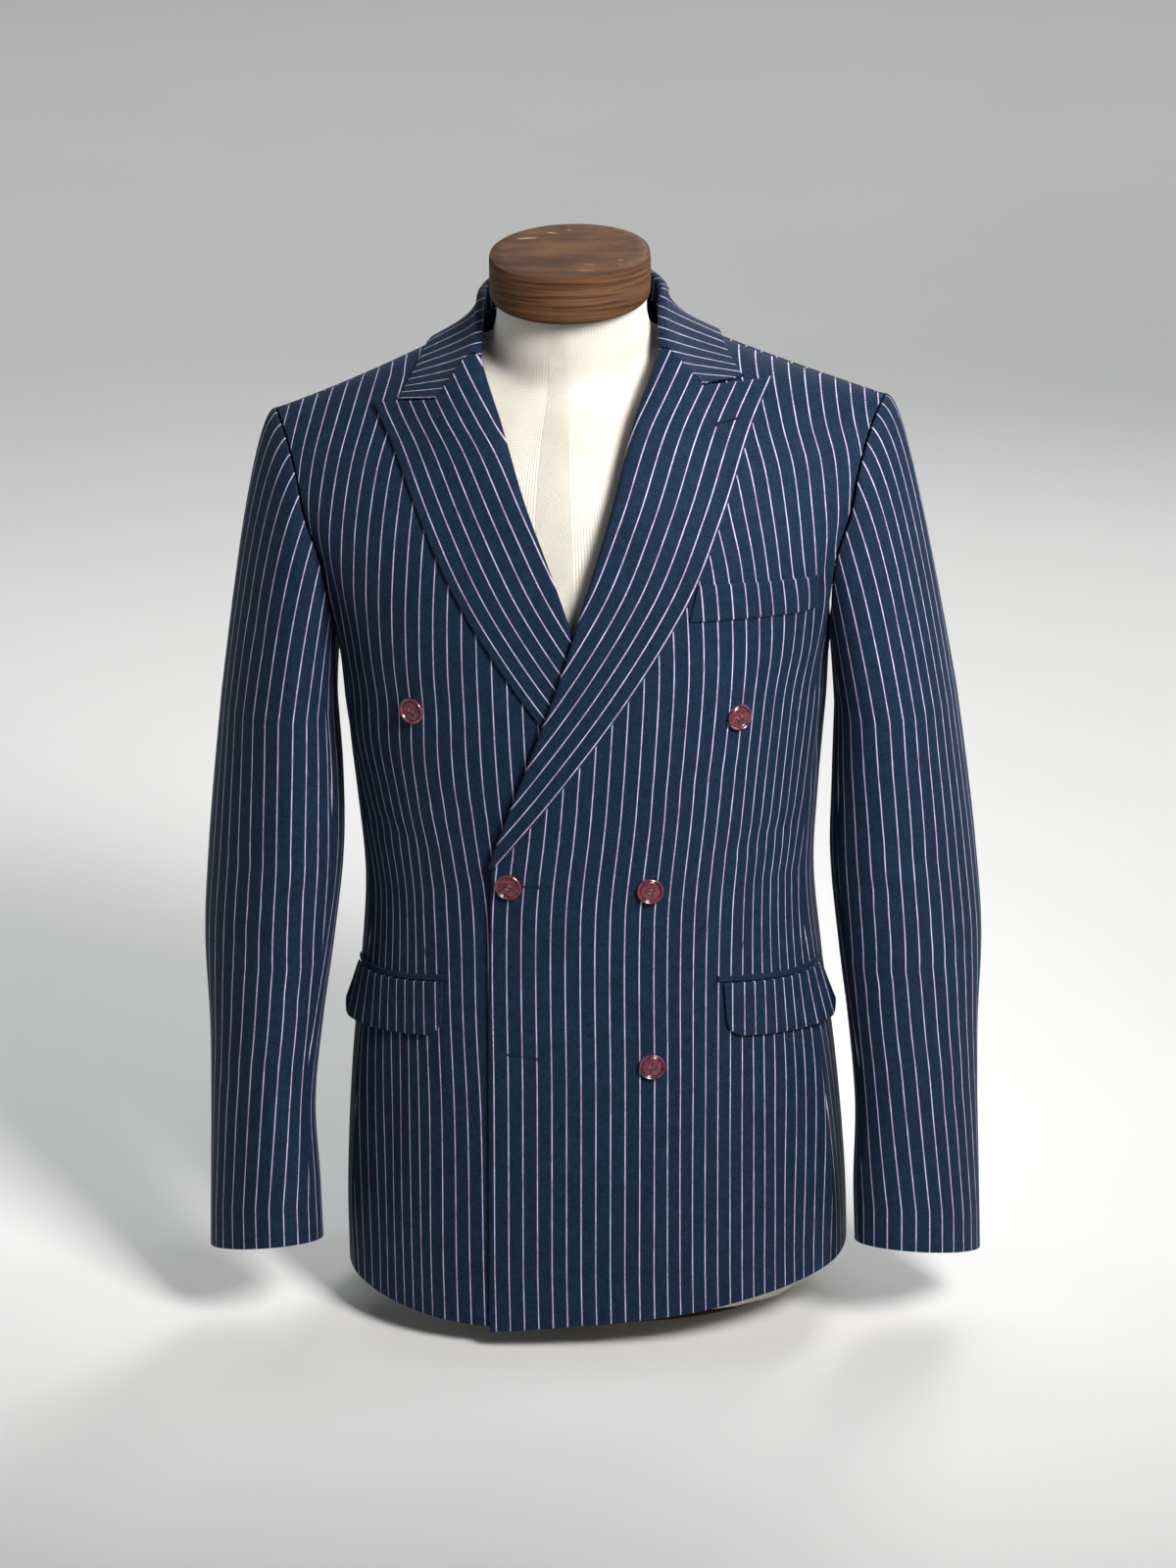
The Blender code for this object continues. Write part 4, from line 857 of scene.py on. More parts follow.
def flat_size(grid):
    """Width and length of the cut, and its area, on the middle of the cloth."""
    points = grid[..., :3]
    along, across = np.diff(points, axis=0), np.diff(points, axis=1)
    wide = np.linalg.norm(across, axis=-1).sum(axis=1).max()
    long = np.linalg.norm(along, axis=-1).sum(axis=0).max()
    halves = [np.linalg.norm(np.cross(a, b), axis=-1)
              for a, b in ((along[:, :-1], across[:-1]), (along[:, 1:], across[1:]))]
    return (float(wide), max(float(long), LEAST_CUT)), float((halves[0] + halves[1]).sum() / 2)


def shell(name, rows, cut, side=LEFT, wall=WALL, gap=0.0):
    """A thin wall of cloth through a grid of outer points, with its edges rounded.

    The cut map has the same grid.  Rows and columns run as in the solid's panel.
    """
    grid = np.array([[(*point, *place) for point, place in zip(row, places)]
                     for row, places in zip(rows, cut)])
    if gap:
        for line in (grid, grid.swapaxes(0, 1)):
            for end, inner in ((0, 1), (-1, -2)):
                step = line[inner] - line[end]
                line[end] += step * gap / np.linalg.norm(step[:, :3], axis=1, keepdims=True)
    grid = add_lines(grid)
    count, wide = grid.shape[:2]
    row, column = np.arange(count)[:, None], np.arange(wide)[None, :]
    beside = np.minimum(np.minimum(row, count - 1 - row), np.minimum(column, wide - 1 - column))
    drop = np.array(EDGE_DROP)[np.minimum(beside, 2)][..., None] * wall
    points, normals = grid[..., :3], grid_normals(grid[..., :3])
    outer = settle_all(points - normals * drop, side).reshape(-1, 3)
    inner = settle_all(points - normals * (wall - drop), side)[1:-1, 1:-1].reshape(-1, 3)
    above = np.arange(count * wide).reshape(count, wide)
    below = above.copy()
    below[1:-1, 1:-1] = count * wide + np.arange(len(inner)).reshape(count - 2, wide - 2)
    faces = []
    for index, turned in ((above, side == RIGHT), (below, side == LEFT)):
        quads = [index[:-1, :-1], index[:-1, 1:], index[1:, 1:], index[1:, :-1]]
        quads = np.stack(quads[::-1] if turned else quads, axis=-1)
        faces.append(quads.reshape(-1, 4))
    places = np.concatenate([grid[..., 3:].reshape(-1, 2), grid[1:-1, 1:-1, 3:].reshape(-1, 2)])
    piece = add_mesh(f"{name}_cloth", np.concatenate([outer, inner]), np.concatenate(faces),
                     cloth_material(), places)
    stand_for(piece, name)
    flat, area = flat_size(grid)
    return points


def link(name, data):
    """A new object of the scene."""
    piece = bpy.data.objects.new(name, data)
    bpy.context.scene.collection.objects.link(piece)
    return piece


def add_mesh(name, points, faces, material, places=None):
    mesh = bpy.data.meshes.new(name)
    mesh.from_pydata(np.asarray(points).tolist(), [], np.asarray(faces).tolist()
                     if isinstance(faces, np.ndarray) else faces)
    if places is not None:
        layer = mesh.uv_layers.new(name="cut")
        corners = np.empty(len(mesh.loops), dtype=np.int32)
        mesh.loops.foreach_get("vertex_index", corners)
        layer.data.foreach_set("uv", places[corners].astype(np.float32).ravel())
    mesh.materials.append(material)
    mesh.shade_smooth()
    return link(name, mesh)


def stand_for(piece, node):
    """Ride on the one body and take a node's place."""
    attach(piece, "root")
    if node:
        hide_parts(node)


def panel(part, rows, side, across):
    """One of the jacket's panels, from rows of turns and heights."""
    return shell(f"{part}_{side_name(side)}",
                 [[body_point(turn, z, side) for turn, z in row] for row in rows],
                 [[(across(turn, z, side), z) for turn, z in row] for row in rows],
                 side, gap=SEAM_GAP / 2)


def eased(count, start=0.0, end=1.0, pack=0.35):
    """Steps that lie closer together at both ends."""
    return [mix(start, end, mix(share, smooth(share), pack)) for share in steps(count)]


def make_front(side):
    top = LAPEL[-1]
    inner = [(read(LAPEL, "roll_x", s), read(LAPEL, "roll_z", s)) for s in steps(ROLL_ROWS)]
    for drop in TOP_DROPS:
        share = (NECK_Z - drop - top.roll_z) / (NECK_Z - top.roll_z)
        inner.append((mix(top.roll_x, NECK_X, share), NECK_Z - drop))
    columns = eased(FRONT_COLUMNS)
    rows = skirt_rows(front_edge_turn, front_seam, columns, side)
    rows += yoke_rows([(turn_at(x, z), z) for x, z in inner],
                      outer_line(front_seam, FRONT_SEAM_ARM, 0.0), False, columns)
    return panel("front", rows, side, front_u)


def make_side(side):
    columns = steps(SIDE_COLUMNS)
    rows = skirt_rows(front_seam, back_seam, columns, side)
    tops = [arm_point(angle) for angle in side_angles()]
    for rise in steps(SEAM_ROWS)[1:]:
        turns = [seam(mix(BREAK_Z, top[1], rise))
                 for seam, top in ((front_seam, tops[0]), (back_seam, tops[-1]))]
        row = []
        for share, (turn, height) in zip(columns, tops):
            curve = turn - mix(tops[0][0], tops[-1][0], share)
            row.append((mix(*turns, share) + curve * rise ** 2, mix(BREAK_Z, height, rise)))
        rows.append(row)
    return panel("side", rows, side, side_u)


def make_back(side):
    nape = NECK_Z + NAPE_RISE
    gorge_drop = NECK_Z - LAPEL[-1].roll_z
    middle = [(180.0, z) for z in steps(ROLL_ROWS, BREAK_Z, nape - gorge_drop)]
    middle += [(180.0, nape - drop) for drop in TOP_DROPS]
    shoulder, neck = turn_at(SHOULDER_X, SHOULDER_Z), turn_at(NECK_X, NECK_Z)
    on_seam = (shoulder - neck) / shoulder
    top = steps(BACK_COLUMNS - NECK_COLUMNS, 0.0, on_seam)
    top += steps(NECK_COLUMNS + 1, on_seam, 1.0)[1:]
    columns = steps(BACK_COLUMNS)
    rows = skirt_rows(back_seam, lambda z: 180.0, columns, side)
    rows += yoke_rows(outer_line(back_seam, BACK_SEAM_ARM, 360.0), middle, True, columns, top)
    return panel("back", rows, side, back_u)


# -------------------------------------------------------------------- lapels
def roll_frame(share, side):
    """A point of the roll line with its outward, sideways and upward directions."""
    def at(s):
        return over_front(read(LAPEL, "roll_x", s), read(LAPEL, "roll_z", s), side)

    along = (at(min(share + ROLL_STEP, 1.0)) - at(max(share - ROLL_STEP, 0.0))).normalized()
    x, z = read(LAPEL, "roll_x", share), read(LAPEL, "roll_z", share)
    out = body_normal(turn_at(x, z), z, side)
    out = (out - along * out.dot(along)).normalized()
    away = along.cross(out).normalized()
    return at(share), out, (away if away.x > 0 else -away), along


def roll_points(share, side):
    """Half round of the fold, from under the front's edge to over it."""
    here, out, away, _ = roll_frame(share, side)
    height = read(LAPEL, "roll_height", share)
    reach = min(height / 2, ROLL_REACH)
    points = []
    for angle in steps(ROLL_COLUMNS, -90, 90):
        rise = height / 2 * (1 + math.sin(math.radians(angle))) - WALL
        inward = reach * math.cos(math.radians(angle)) + 2 * SEAM_GAP
        points.append(here + out * rise - away * inward)
    return points


def fall_shares(notch_share):
    """Shares across a lapel or the collar's fall, with one on the notch."""
    return (steps(GORGE_COLUMNS + 1, 0, notch_share)[1:]
            + steps(FALL_COLUMNS - GORGE_COLUMNS + 1, notch_share, 1)[1:])


def lapel_level(share, height):
    return mix(height - WALL, LAYER_GAP + WALL, smooth(share))


def lapel_u(point, edge, side):
    """Its stripes follow the outer edge, whose line goes on straight above the peak."""
    (low_x, low_z), (high_x, high_z) = edge[-EDGE_LAST], edge[-1]
    z = point[2]
    if z > high_z:
        x = high_x + (high_x - low_x) / (high_z - low_z) * (z - high_z)
    else:
        x = np.interp(z, [p[1] for p in edge], [p[0] for p in edge])
    grain = LAPEL_GRAIN[side]
    return (x - point[0] - grain.start) / grain.pitch * PITCH


def make_lapel(side):
    """The turned-back lapel: a soft roll and a flap that lies on the front."""
    top, gorge = LAPEL[-1], GORGE[side]
    notch_share = (gorge.notch_x - top.roll_x) / (gorge.peak_x - top.roll_x)
    sag = gorge.notch_z - mix(top.roll_z, gorge.peak_z, notch_share)
    rows = []
    for share in eased(LAPEL_ROWS):
        lap = {name: read(LAPEL, name, share) for name in LAPEL[0]._fields[1:]}
        near_top = smooth((share - PEAK_FROM) / (1 - PEAK_FROM))
        lap["edge_x"] += (gorge.peak_x - top.edge_x) * near_top
        lap["edge_z"] += (gorge.peak_z - top.edge_z) * near_top
        row = roll_points(share, side)
        for across in fall_shares(notch_share):
            bend = min(across / notch_share, (1 - across) / (1 - notch_share))
            x = mix(lap["roll_x"], lap["edge_x"], across)
            z = mix(lap["roll_z"], lap["edge_z"], across)
            z += sag * bend * smooth((share - GORGE_FROM) / (1 - GORGE_FROM))
            level = lapel_level(across, lap["roll_height"]) + PEAK_LIFT * near_top
            row.append(over_front(x, z, side, level))
        rows.append(row)
    edge = [(row[-1].x, row[-1].z) for row in rows]
    cut = [[(lapel_u(point, edge, side), point.z) for point in row] for row in rows]
    name = side_name(side)
    return shell(f"lapel_{name}", rows, cut, side)


# -------------------------------------------------------------------- collar
def neckline(share):
    """Neck edge of the panels, from the gorge (0) past the shoulder to the nape (1)."""
    top = LAPEL[-1]
    if share < NECK_SHARE:
        part = share / NECK_SHARE
        return over_front(mix(top.roll_x, NECK_X, part), mix(top.roll_z, NECK_Z, part), RIGHT)
    angle = math.radians(90 * (share - NECK_SHARE) / (1 - NECK_SHARE))
    return Vector((NECK_X * math.cos(angle), mix(NECK_Y, NAPE_Y, math.sin(angle)),
                   NECK_Z + NAPE_RISE * math.sin(angle) ** 2))


def ridge_normal(point):
    """Direction that both panels are thickened in along the shoulder seam."""
    if point.x < NECK_X - SEAM_GAP:
        return UP
    ends = [Vector((x, *ridge(x))) for x in (point.x - RIDGE_STEP, point.x + RIDGE_STEP)]
    seam = (ends[1] - ends[0]).normalized()
    return (UP - seam * seam.z).normalized()


def fall_edge(share, side):
    """Outer edge of the fall, from its front corner over the shoulder to the back."""
    front_turn = turn_at(COLLAR_SIDE_X, ridge(COLLAR_SIDE_X)[1])
    if share < NECK_SHARE:
        part = share / NECK_SHARE
        x = mix(GORGE[side].corner_x, COLLAR_SIDE_X, part)
        z = mix(GORGE[side].corner_z, ridge(COLLAR_SIDE_X)[1], part)
        point = over_front(x, min(z, ridge(x)[1]), RIGHT)
        out = body_normal(turn_at(x, z), z, RIGHT)
    else:
        part = (share - NECK_SHARE) / (1 - NECK_SHARE)
        turn = mix(180 - front_turn, 180, part)
        side_z = ridge(COLLAR_SIDE_X)[1]
        z = mix(side_z, COLLAR_BACK_Z, smooth(part))
        x, _ = section_xy(turn, z)
        point = body_point(turn, min(z, ridge(x, True)[1]), RIGHT)
        out = body_normal(turn, z, RIGHT)
    blend = math.exp(-((share - NECK_SHARE) / SHOULDER_BLEND) ** 2)
    out = (out * (1 - blend) + ridge_normal(point) * blend).normalized()
    return point + out * (LAYER_GAP + WALL + SHOULDER_LIFT * blend)


def collar_row(share, side):
    """Stand, fold and fall at one place round the neck."""
    top, gorge = LAPEL[-1], GORGE[side]
    along = roll_frame(1.0, RIGHT)[3]
    start = [point + along * (4 * SEAM_GAP) for point in roll_points(1.0, RIGHT)]
    away = neckline(share) - Vector((0, NECK_Y, 0))
    away = Vector((away.x, away.y, 0)).normalized() if share > NECK_SHARE else Vector((1, 0, 0))
    up = (UP - away * STAND_LEAN).normalized()
    base = neckline(share) - away * (WALL + SEAM_GAP) + up * (2 * SEAM_GAP)
    stand = mix(STAND_FRONT, STAND_BACK, smooth(share)) - FOLD_RADIUS
    points = [base + up * stand * rise for rise in STAND_STEPS]
    hub = base + up * stand + away * FOLD_RADIUS
    for angle in steps(ROLL_COLUMNS - len(STAND_STEPS), 180, 0):
        turned = away * math.cos(math.radians(angle)) + up * math.sin(math.radians(angle))
        points.append(hub + turned * FOLD_RADIUS)
    points = [a.lerp(b, smooth(share / NECK_SHARE)) for a, b in zip(start, points)]
    edge, head = fall_edge(share, side), points[-1]
    notch_share = (gorge.notch_x - top.roll_x) / (gorge.peak_x - top.roll_x)
    level = lapel_level(notch_share, top.roll_height) + PEAK_LIFT
    notch = over_front(gorge.notch_x, gorge.notch_z, RIGHT, level) + along * NOTCH_GAP
    straight = 1 - smooth(share / NECK_SHARE)
    corner = GORGE_COLUMNS / FALL_COLUMNS
    for across in steps(FALL_COLUMNS + 1)[1:]:
        bulge = read(FALL, "bulge", share) * math.sin(math.pi * across ** BULGE_POWER)
        plain = head.lerp(edge, across) + (away + Vector((0, 0, BULGE_RISE))) * bulge
        bent = (head.lerp(notch, across / corner) if across < corner
                else notch.lerp(edge, (across - corner) / (1 - corner)))
        points.append(plain.lerp(bent, straight))
    return points


def fan_place(point):
    """Place across the collar's cut in front, where the stripes fan out."""
    rise = point.z * math.cos(FAN_SLOPE) + point.y * math.sin(FAN_SLOPE)
    slope = (rise - FAN_Z) / (FAN_X - point.x)
    return ((slope - FAN_FIRST) / FAN_STEP + 1) * PITCH


def collar_end(half):
    """Rows beyond the fall's front end, which reaches down to the lapel's top."""
    tip = half[0][0] if (half[0][0] - half[0][-1]).x > 0 else half[0][-1]
    extra = []
    for share in END_STEPS:
        row = []
        for across, (point, behind) in enumerate(zip(half[0], half[1])):
            near = half[0][max(across - 1, 0)] - half[0][min(across + 1, len(half[0]) - 1)]
            edge = near.normalized() * (1 if near.dot(tip - point) >= 0 else -1)
            ahead = point - behind
            ahead = (ahead - edge * ahead.dot(edge)).normalized()
            reach = max(1 - (tip - point).length / END_LENGTH, 0.0) ** END_POWER
            step = ahead * (END_DROP * reach + END_LEAST) + edge * END_OUT * reach
            row.append(point + step * share)
        extra.append(row)
    return extra


def make_collar():
    """One piece round the neck; its stripes fan out in front and run down the back."""
    halves = []
    shares = eased(COLLAR_ROWS)
    for side in (LEFT, RIGHT):
        half = [collar_row(share, side) for share in shares]
        half = collar_end(half) + half
        first = next(k for k, share in enumerate(shares) if share >= NECK_SHARE) + 2
        lean = np.array([fan_place(point) for point in half[first]])
        run = [0.0]
        for before, row in zip(half[first:], half[first + 1:]):
            run.append(run[-1] + sum((b - a).length for a, b in zip(before, row)) / len(row))
        centre = (round((lean.mean() + run[-1]) / PITCH - 0.5) + 0.5) * PITCH
        rows, cut = [], []
        for k, row in enumerate(half):
            if k <= first:
                places = [fan_place(point) for point in row]
            else:
                share = run[k - first] / run[-1]
                kept = 1 - smooth(share)
                places = lean.mean() + (centre - lean.mean()) * share + (lean - lean.mean()) * kept
            rows.append([turn_over(point, side) for point in row])
            cut.append([(place, across / len(row) * COLLAR_WIDTH)
                        for across, place in enumerate(places)])
        halves.append((rows, cut))
    rows, cut = (left + right[-2::-1] for left, right in zip(*halves))
    return shell("collar", rows, cut)


# ------------------------------------------------------------------- sleeves
def fold_depth(angle, height, side):
    """How far the sleeve's folds lie below its plain form."""
    total = 0.0
    for fold in FOLDS[side]:
        turn = (angle - fold.angle + 180) % 360 - 180
        across = turn / fold.reach
        rise = (height - fold.height - fold.tilt * turn * TURN_SIZE) / fold.rise
        if abs(across) < 1 and abs(rise) < CREASE_FAR:
            total += fold.depth * math.cos(math.pi / 2 * across) ** 2 * math.exp(-rise ** 2)
    return total


def sleeve_ring(height, angle, side, folded=True):
    """Point of the sleeve below the armhole: 0 is outside, 90 front, 180 inside."""
    sine, cosine = sin_cos(angle)
    depth = read(SLEEVE, "depth", height)
    outer, inner = read(SLEEVE, "outer", height), read(SLEEVE, side_name(side), height)
    half = (outer - inner) / 2
    level = 1 - smooth((height - SLEEVE[0].height) / CUFF_TILT_REACH)
    tilt = (CUFF_TILT * depth * sine - CUFF_SIDE_TILT * half * cosine) * level
    swung = math.radians(angle + SLEEVE_SWING)
    fold = fold_depth(angle, height, side) if folded else 0.0
    return Vector((inner + half * (1 + math.cos(swung)) - fold * math.cos(swung),
                   read(SLEEVE, "centre_y", height) - depth * sine + fold * sine, height + tilt))


def sleeve_cap(angle, share, side, folded=True):
    """Point of the cap, which bends from the armhole down to the sleeve."""
    turn, height = arm_point(angle)
    start = body_point(turn, height, RIGHT)
    end = sleeve_ring(SLEEVE[-1].height, angle, side, folded)
    over = (1 + math.cos(math.radians(angle))) / 2
    start = start + Vector((SEAM_GAP * 2, 0, -SEAM_GAP * (1 - over)))
    fullness = CAP_FRONT * math.sin(math.radians(angle))
    bend = Vector((mix(start.x, end.x, mix(*CAP_BEND_X, over)),
                   mix(start.y, end.y, 0.5) - fullness,
                   mix(start.z, end.z, mix(*CAP_BEND_Z, over ** CAP_POWER))
                   + SLEEVE_HEAD * over ** HEAD_POWER))
    point = start.lerp(bend, share).lerp(bend.lerp(end, share), share)
    fold = fold_depth(angle, point.z, side) * smooth(share * 2) if folded else 0.0
    swung = math.radians(angle + SLEEVE_SWING)
    return point - Vector((math.cos(swung), -math.sin(swung), 0)) * fold


def ring_arcs(side):
    """Length round the sleeve from its outside towards the front, by height and angle."""
    heights = steps(ARC_HEIGHTS // 2, SLEEVE[0].height, SLEEVE[-1].height)
    arcs = []
    for height in heights:
        run = run_along([sleeve_ring(height, angle, side, False)[:2] for angle in ARC_ANGLES])
        arcs.append(run - np.interp(0, ARC_ANGLES, run))
    return heights, np.array(arcs)


def sleeve_place(run, height, side):
    """Place across the cut of the top sleeve."""
    heights, off = ([getattr(row, name) for row in SLEEVE_GRAIN]
                    for name in ("height", side_name(side)))
    here = run / PITCH - np.interp(height, heights, off)
    short = EASE_FROM - here if here < EASE_FROM else 0.0
    here += EASE_SHARE[side] * np.interp(short, *zip(*SLEEVE_EASE))
    return here * PITCH


def level_arcs(cap, centre):
    """Length along a level line from the outer line to each point of the cap."""
    heights = np.maximum.accumulate(cap[::-1, :, 2])[::-1]
    arcs = np.zeros(heights.shape)
    for k in range(heights.shape[1]):
        between = range(centre, k + 1) if k >= centre else range(centre, k - 1, -1)
        line = []
        for j in between:
            rise, points = heights[::-1, j] + LEAST_RISE * np.arange(len(heights)), cap[::-1, j]
            line.append([np.interp(heights[:, k], rise, points[:, i]) for i in range(3)])
        line = np.array(line)
        lengths = np.linalg.norm(np.diff(line, axis=0), axis=1).sum(axis=0)
        arcs[:, k] = lengths if k >= centre else -lengths
    return arcs


def make_sleeve(side, part, angles):
    """A sleeve's top or under piece, cap and arm in one grid."""
    heights = steps(SLEEVE_ROWS, SLEEVE[-1].height, SLEEVE[0].height)[1:]
    shares = steps(CAP_ROWS)
    rows = [[sleeve_cap(angle % 360, share, side) for angle in angles] for share in shares]
    rows += [[sleeve_ring(height, angle, side) for angle in angles] for height in heights]
    levels, arcs = ring_arcs(side)
    on_top = part == "sleeve_top"
    if on_top:
        plain = [[sleeve_cap(angle % 360, share, side, False) for angle in angles]
                 for share in shares]
        cap = level_arcs(np.array(plain), int(np.argmin(np.abs(np.array(angles) + SLEEVE_SWING))))
        angles = [(angle + 180) % 360 - 180 for angle in angles]
        cap += np.interp(angles, ARC_ANGLES, arcs[-1]) - cap[-1]
    cut = []
    for row, height in zip(rows, [SLEEVE[-1].height] * len(shares) + heights):
        run = np.interp(angles, ARC_ANGLES, [np.interp(height, levels, line) for line in arcs.T])
        if on_top:
            if len(cut) < len(shares):
                run = cap[len(cut)]
            places = [sleeve_place(here, height, side) for here in run]
        else:
            places = run - run[len(run) // 2]
        cut.append([(place, point.z) for place, point in zip(places, row)])
    return shell(f"{part}_{side_name(side)}", rows, cut, side, gap=SEAM_GAP)


def finer(angles, count):
    """As many stations as asked, spaced as the given ones are."""
    return np.interp(np.linspace(0, len(angles) - 1, count), range(len(angles)), angles).tolist()


def make_sleeves(side):
    front, back = arm_angles(FRONT_SEAM_ARM, 0.0), arm_angles(BACK_SEAM_ARM, 360.0)
    make_sleeve(side, "sleeve_top", finer([a - 360 for a in back[1:]] + front[-2::-1], TOP_COLUMNS))
    make_sleeve(side, "sleeve_under", finer(side_angles() + [back[1]], UNDER_COLUMNS))


# ------------------------------------------------------------------- pockets
def pocket_top(x):
    return POCKET_Z - POCKET_SLOPE * (x - POCKET_X)


def corner_rise(distance, radius):
    """Rise of a rounded lower corner at a distance from the end."""
    short = max(radius - distance, 0.0)
    return radius - math.sqrt(radius ** 2 - short ** 2)


def patch(name, rises, shares, at, side, wall):
    """A small piece on the front; `at` gives its point and its place in the cut."""
    pairs = [[at(rise, share) for share in shares] for rise in rises]
    rows, cut = ([[pair[k] for pair in row] for row in pairs] for k in (0, 1))
    return shell(name, rows, cut, side, wall)


def make_flap(side):
    shares = FLAP_ENDS + steps(FLAP_COLUMNS, *FLAP_MIDDLE)
    shares += [1 - share for share in FLAP_ENDS[::-1]]

    def at(rise, share):
        turn = mix(*FLAP_TURN, share)
        top = pocket_top(section_xy(turn, POCKET_Z)[0])
        edge = min(share, 1 - share) * FLAP_LENGTH
        height = mix(top - FLAP_HEIGHT + corner_rise(edge, FLAP_CORNER), top, rise)
        open_out = (1 - rise) * mix(FLAP_STAND, FLAP_STAND_END, smooth((share - 0.5) / 0.5))
        return (over_body(turn, height, side, FLAP_GAP + FLAP_WALL + open_out),
                (front_u(turn, height, side), height))

    return patch(f"pocket_flap_{side_name(side)}", steps(FLAP_ROWS), shares, at, side, FLAP_WALL)


def make_jet(side):
    """Its stripes lie along it, so that it shows plain."""
    def at(rise, share):
        turn = mix(FLAP_TURN[0] - JET_SPARE, FLAP_TURN[1] + JET_SPARE, share)
        height = pocket_top(section_xy(turn, POCKET_Z)[0]) + JET_GAP + rise * JET_HEIGHT
        return (over_body(turn, height, side, LAYER_GAP + JET_WALL),
                (PITCH * mix(*JET_PLACE, rise), arc(turn, height)))

    patch(f"pocket_jet_{side_name(side)}", steps(JET_ROWS), steps(FLAP_COLUMNS * 2), at, side,
          JET_WALL)


def make_welt():
    def at(rise, share):
        x = mix(mix(*WELT_START, rise), WELT_END, share)
        z = WELT_TOP - WELT_SLOPE * (x - WELT_START[1]) - WELT_HEIGHT * (1 - rise)
        return over_front(x, z, LEFT, LAYER_GAP + WALL), (front_u(turn_at(x, z), z, LEFT), z)

    patch("breast_welt", steps(FLAP_ROWS), steps(WELT_COLUMNS), at, LEFT, WALL)


# ------------------------------------------------------------------- buttons
def ring_points(radius, height, count):
    angles = np.arange(count) * 2 * math.pi / count
    x, y = radius * np.cos(angles), radius * np.sin(angles)
    return np.stack([x, y, np.full(count, height)], axis=1)


def loft(rings, closed_ends=True):
    """Points and faces through rings of equal length, given from low to high."""
    points = np.concatenate(rings)
    count, faces = len(rings[0]), []
    for first in range(0, len(points) - count, count):
        for i in range(count):
            after = (i + 1) % count
            faces.append([first + i, first + after, first + count + after, first + count + i])
    if closed_ends:
        faces.append(list(range(count))[::-1])
        faces.append([(len(rings) - 1) * count + i for i in range(count)])
    return points, faces


def button_mesh():
    """A turned disc with a dished middle and four sewing holes."""
    rings = [ring_points(row.radius, row.height, BUTTON_SEGMENTS) for row in BUTTON_CURVE[::-1]]
    disc = add_mesh("button_blank", *loft(rings), button_material())
    holes = [loft([ring_points(HOLE_RADIUS, z, HOLE_SEGMENTS) + (x, y, 0) for z in HOLE_ENDS])
             for x, y in HOLES]
    cutter = add_mesh("button_holes", *join(holes), button_material())
    cut = disc.modifiers.new("holes", "BOOLEAN")
    cut.object, cut.solver = cutter, "EXACT"
    graph = bpy.context.evaluated_depsgraph_get()
    mesh = bpy.data.meshes.new_from_object(disc.evaluated_get(graph))
    mesh.shade_smooth()
    mesh.set_sharp_from_angle(angle=math.radians(SHARP_ANGLE))
    for old in (disc, cutter):
        bpy.data.objects.remove(old, do_unlink=True)
    return mesh


def tube(path, radius=BAR_RADIUS, segments=BAR_SEGMENTS):
    """A thread along a short path, its ends closed."""
    path = np.array([point[:] for point in path])
    rings = []
    for i, point in enumerate(path):
        along = path[min(i + 1, len(path) - 1)] - path[max(i - 1, 0)]
        along = along / np.linalg.norm(along)
        side = np.cross(along, (0, 0, 1) if abs(along[2]) < UPRIGHT else (1, 0, 0))
        side = side / np.linalg.norm(side)
        up = np.cross(side, along)
        angles = np.arange(segments) * 2 * math.pi / segments
        ring = np.outer(np.cos(angles), side) + np.outer(np.sin(angles), up)
        rings.append(point + radius * ring)
    return loft(rings)


def join(parts):
    """Several lists of points and faces as one."""
    points, faces, start = [], [], 0
    for some, fits in parts:
        points.append(some)
        faces += [[i + start for i in face] for face in fits]
        start += len(some)
    return np.concatenate(points), faces


def thread_parts():
    """Two bars of thread across the button's holes, three strands each."""
    places = [side * HOLE_REACH + strand * THREAD_RADIUS * STRAND_SPACING
              for side in (-1, 1) for strand in (-1, 0, 1)]
    return join([tube([(x, *step) for step in THREAD_PATH], THREAD_RADIUS, THREAD_SEGMENTS)
                 for x in places])


def make_buttons():
    mesh = button_mesh()
    points, faces = thread_parts()
    for button in BUTTONS:
        turn = turn_at(button.x, button.z)
        out = turn_over(body_normal(turn, button.z, button.side), button.side)
        place = to_side(over_front(button.x, button.z, button.side), button.side) + out * BUTTON_GAP
        frame_at = (Matrix.Translation(place) @ out.to_track_quat("Z", "Y").to_matrix().to_4x4()
                    @ Matrix.Rotation(math.radians(button.spin), 4, "Z"))
        own = mesh.copy()
        own.transform(frame_at)
        stand_for(link(f"{button.name}_turned", own), button.name)
        thread = add_mesh(f"{button.name}_thread", points, faces,
                          thread_material("button_thread", THREAD_DARK, THREAD_LIGHT))
        thread.data.transform(frame_at)
        stand_for(thread, None)


# ------------------------------------------------------- stitches and tacks
def inset_path(points, distance=STITCH_IN):
    """Line at a distance from a grid's first column, with its normals."""
    normals = grid_normals(points)
    path, out = [], []
    for line, turned in zip(points, normals):
        run = run_along(line)
        path.append([np.interp(distance, run, line[:, i]) for i in range(3)])
        out.append([np.interp(distance, run, turned[:, i]) for i in range(3)])
    return np.array(path), np.array(out)


def stitch_parts(path, out, first=STITCH_ENDS):
    """Short threads that lie along a path and dip into the cloth at their ends."""
    run = run_along(path)

    def at(distance, lift):
        point, normal = ([np.interp(distance, run, line[:, i]) for i in range(3)]
                         for line in (path, out))
        return np.array(point) + lift * np.array(normal)

    return [tube([at(start + share * STITCH_LONG, lift) for share, lift in STITCH_PATH],
                 STITCH_RADIUS)
            for start in np.arange(first, run[-1] - STITCH_ENDS, STITCH_PITCH)]


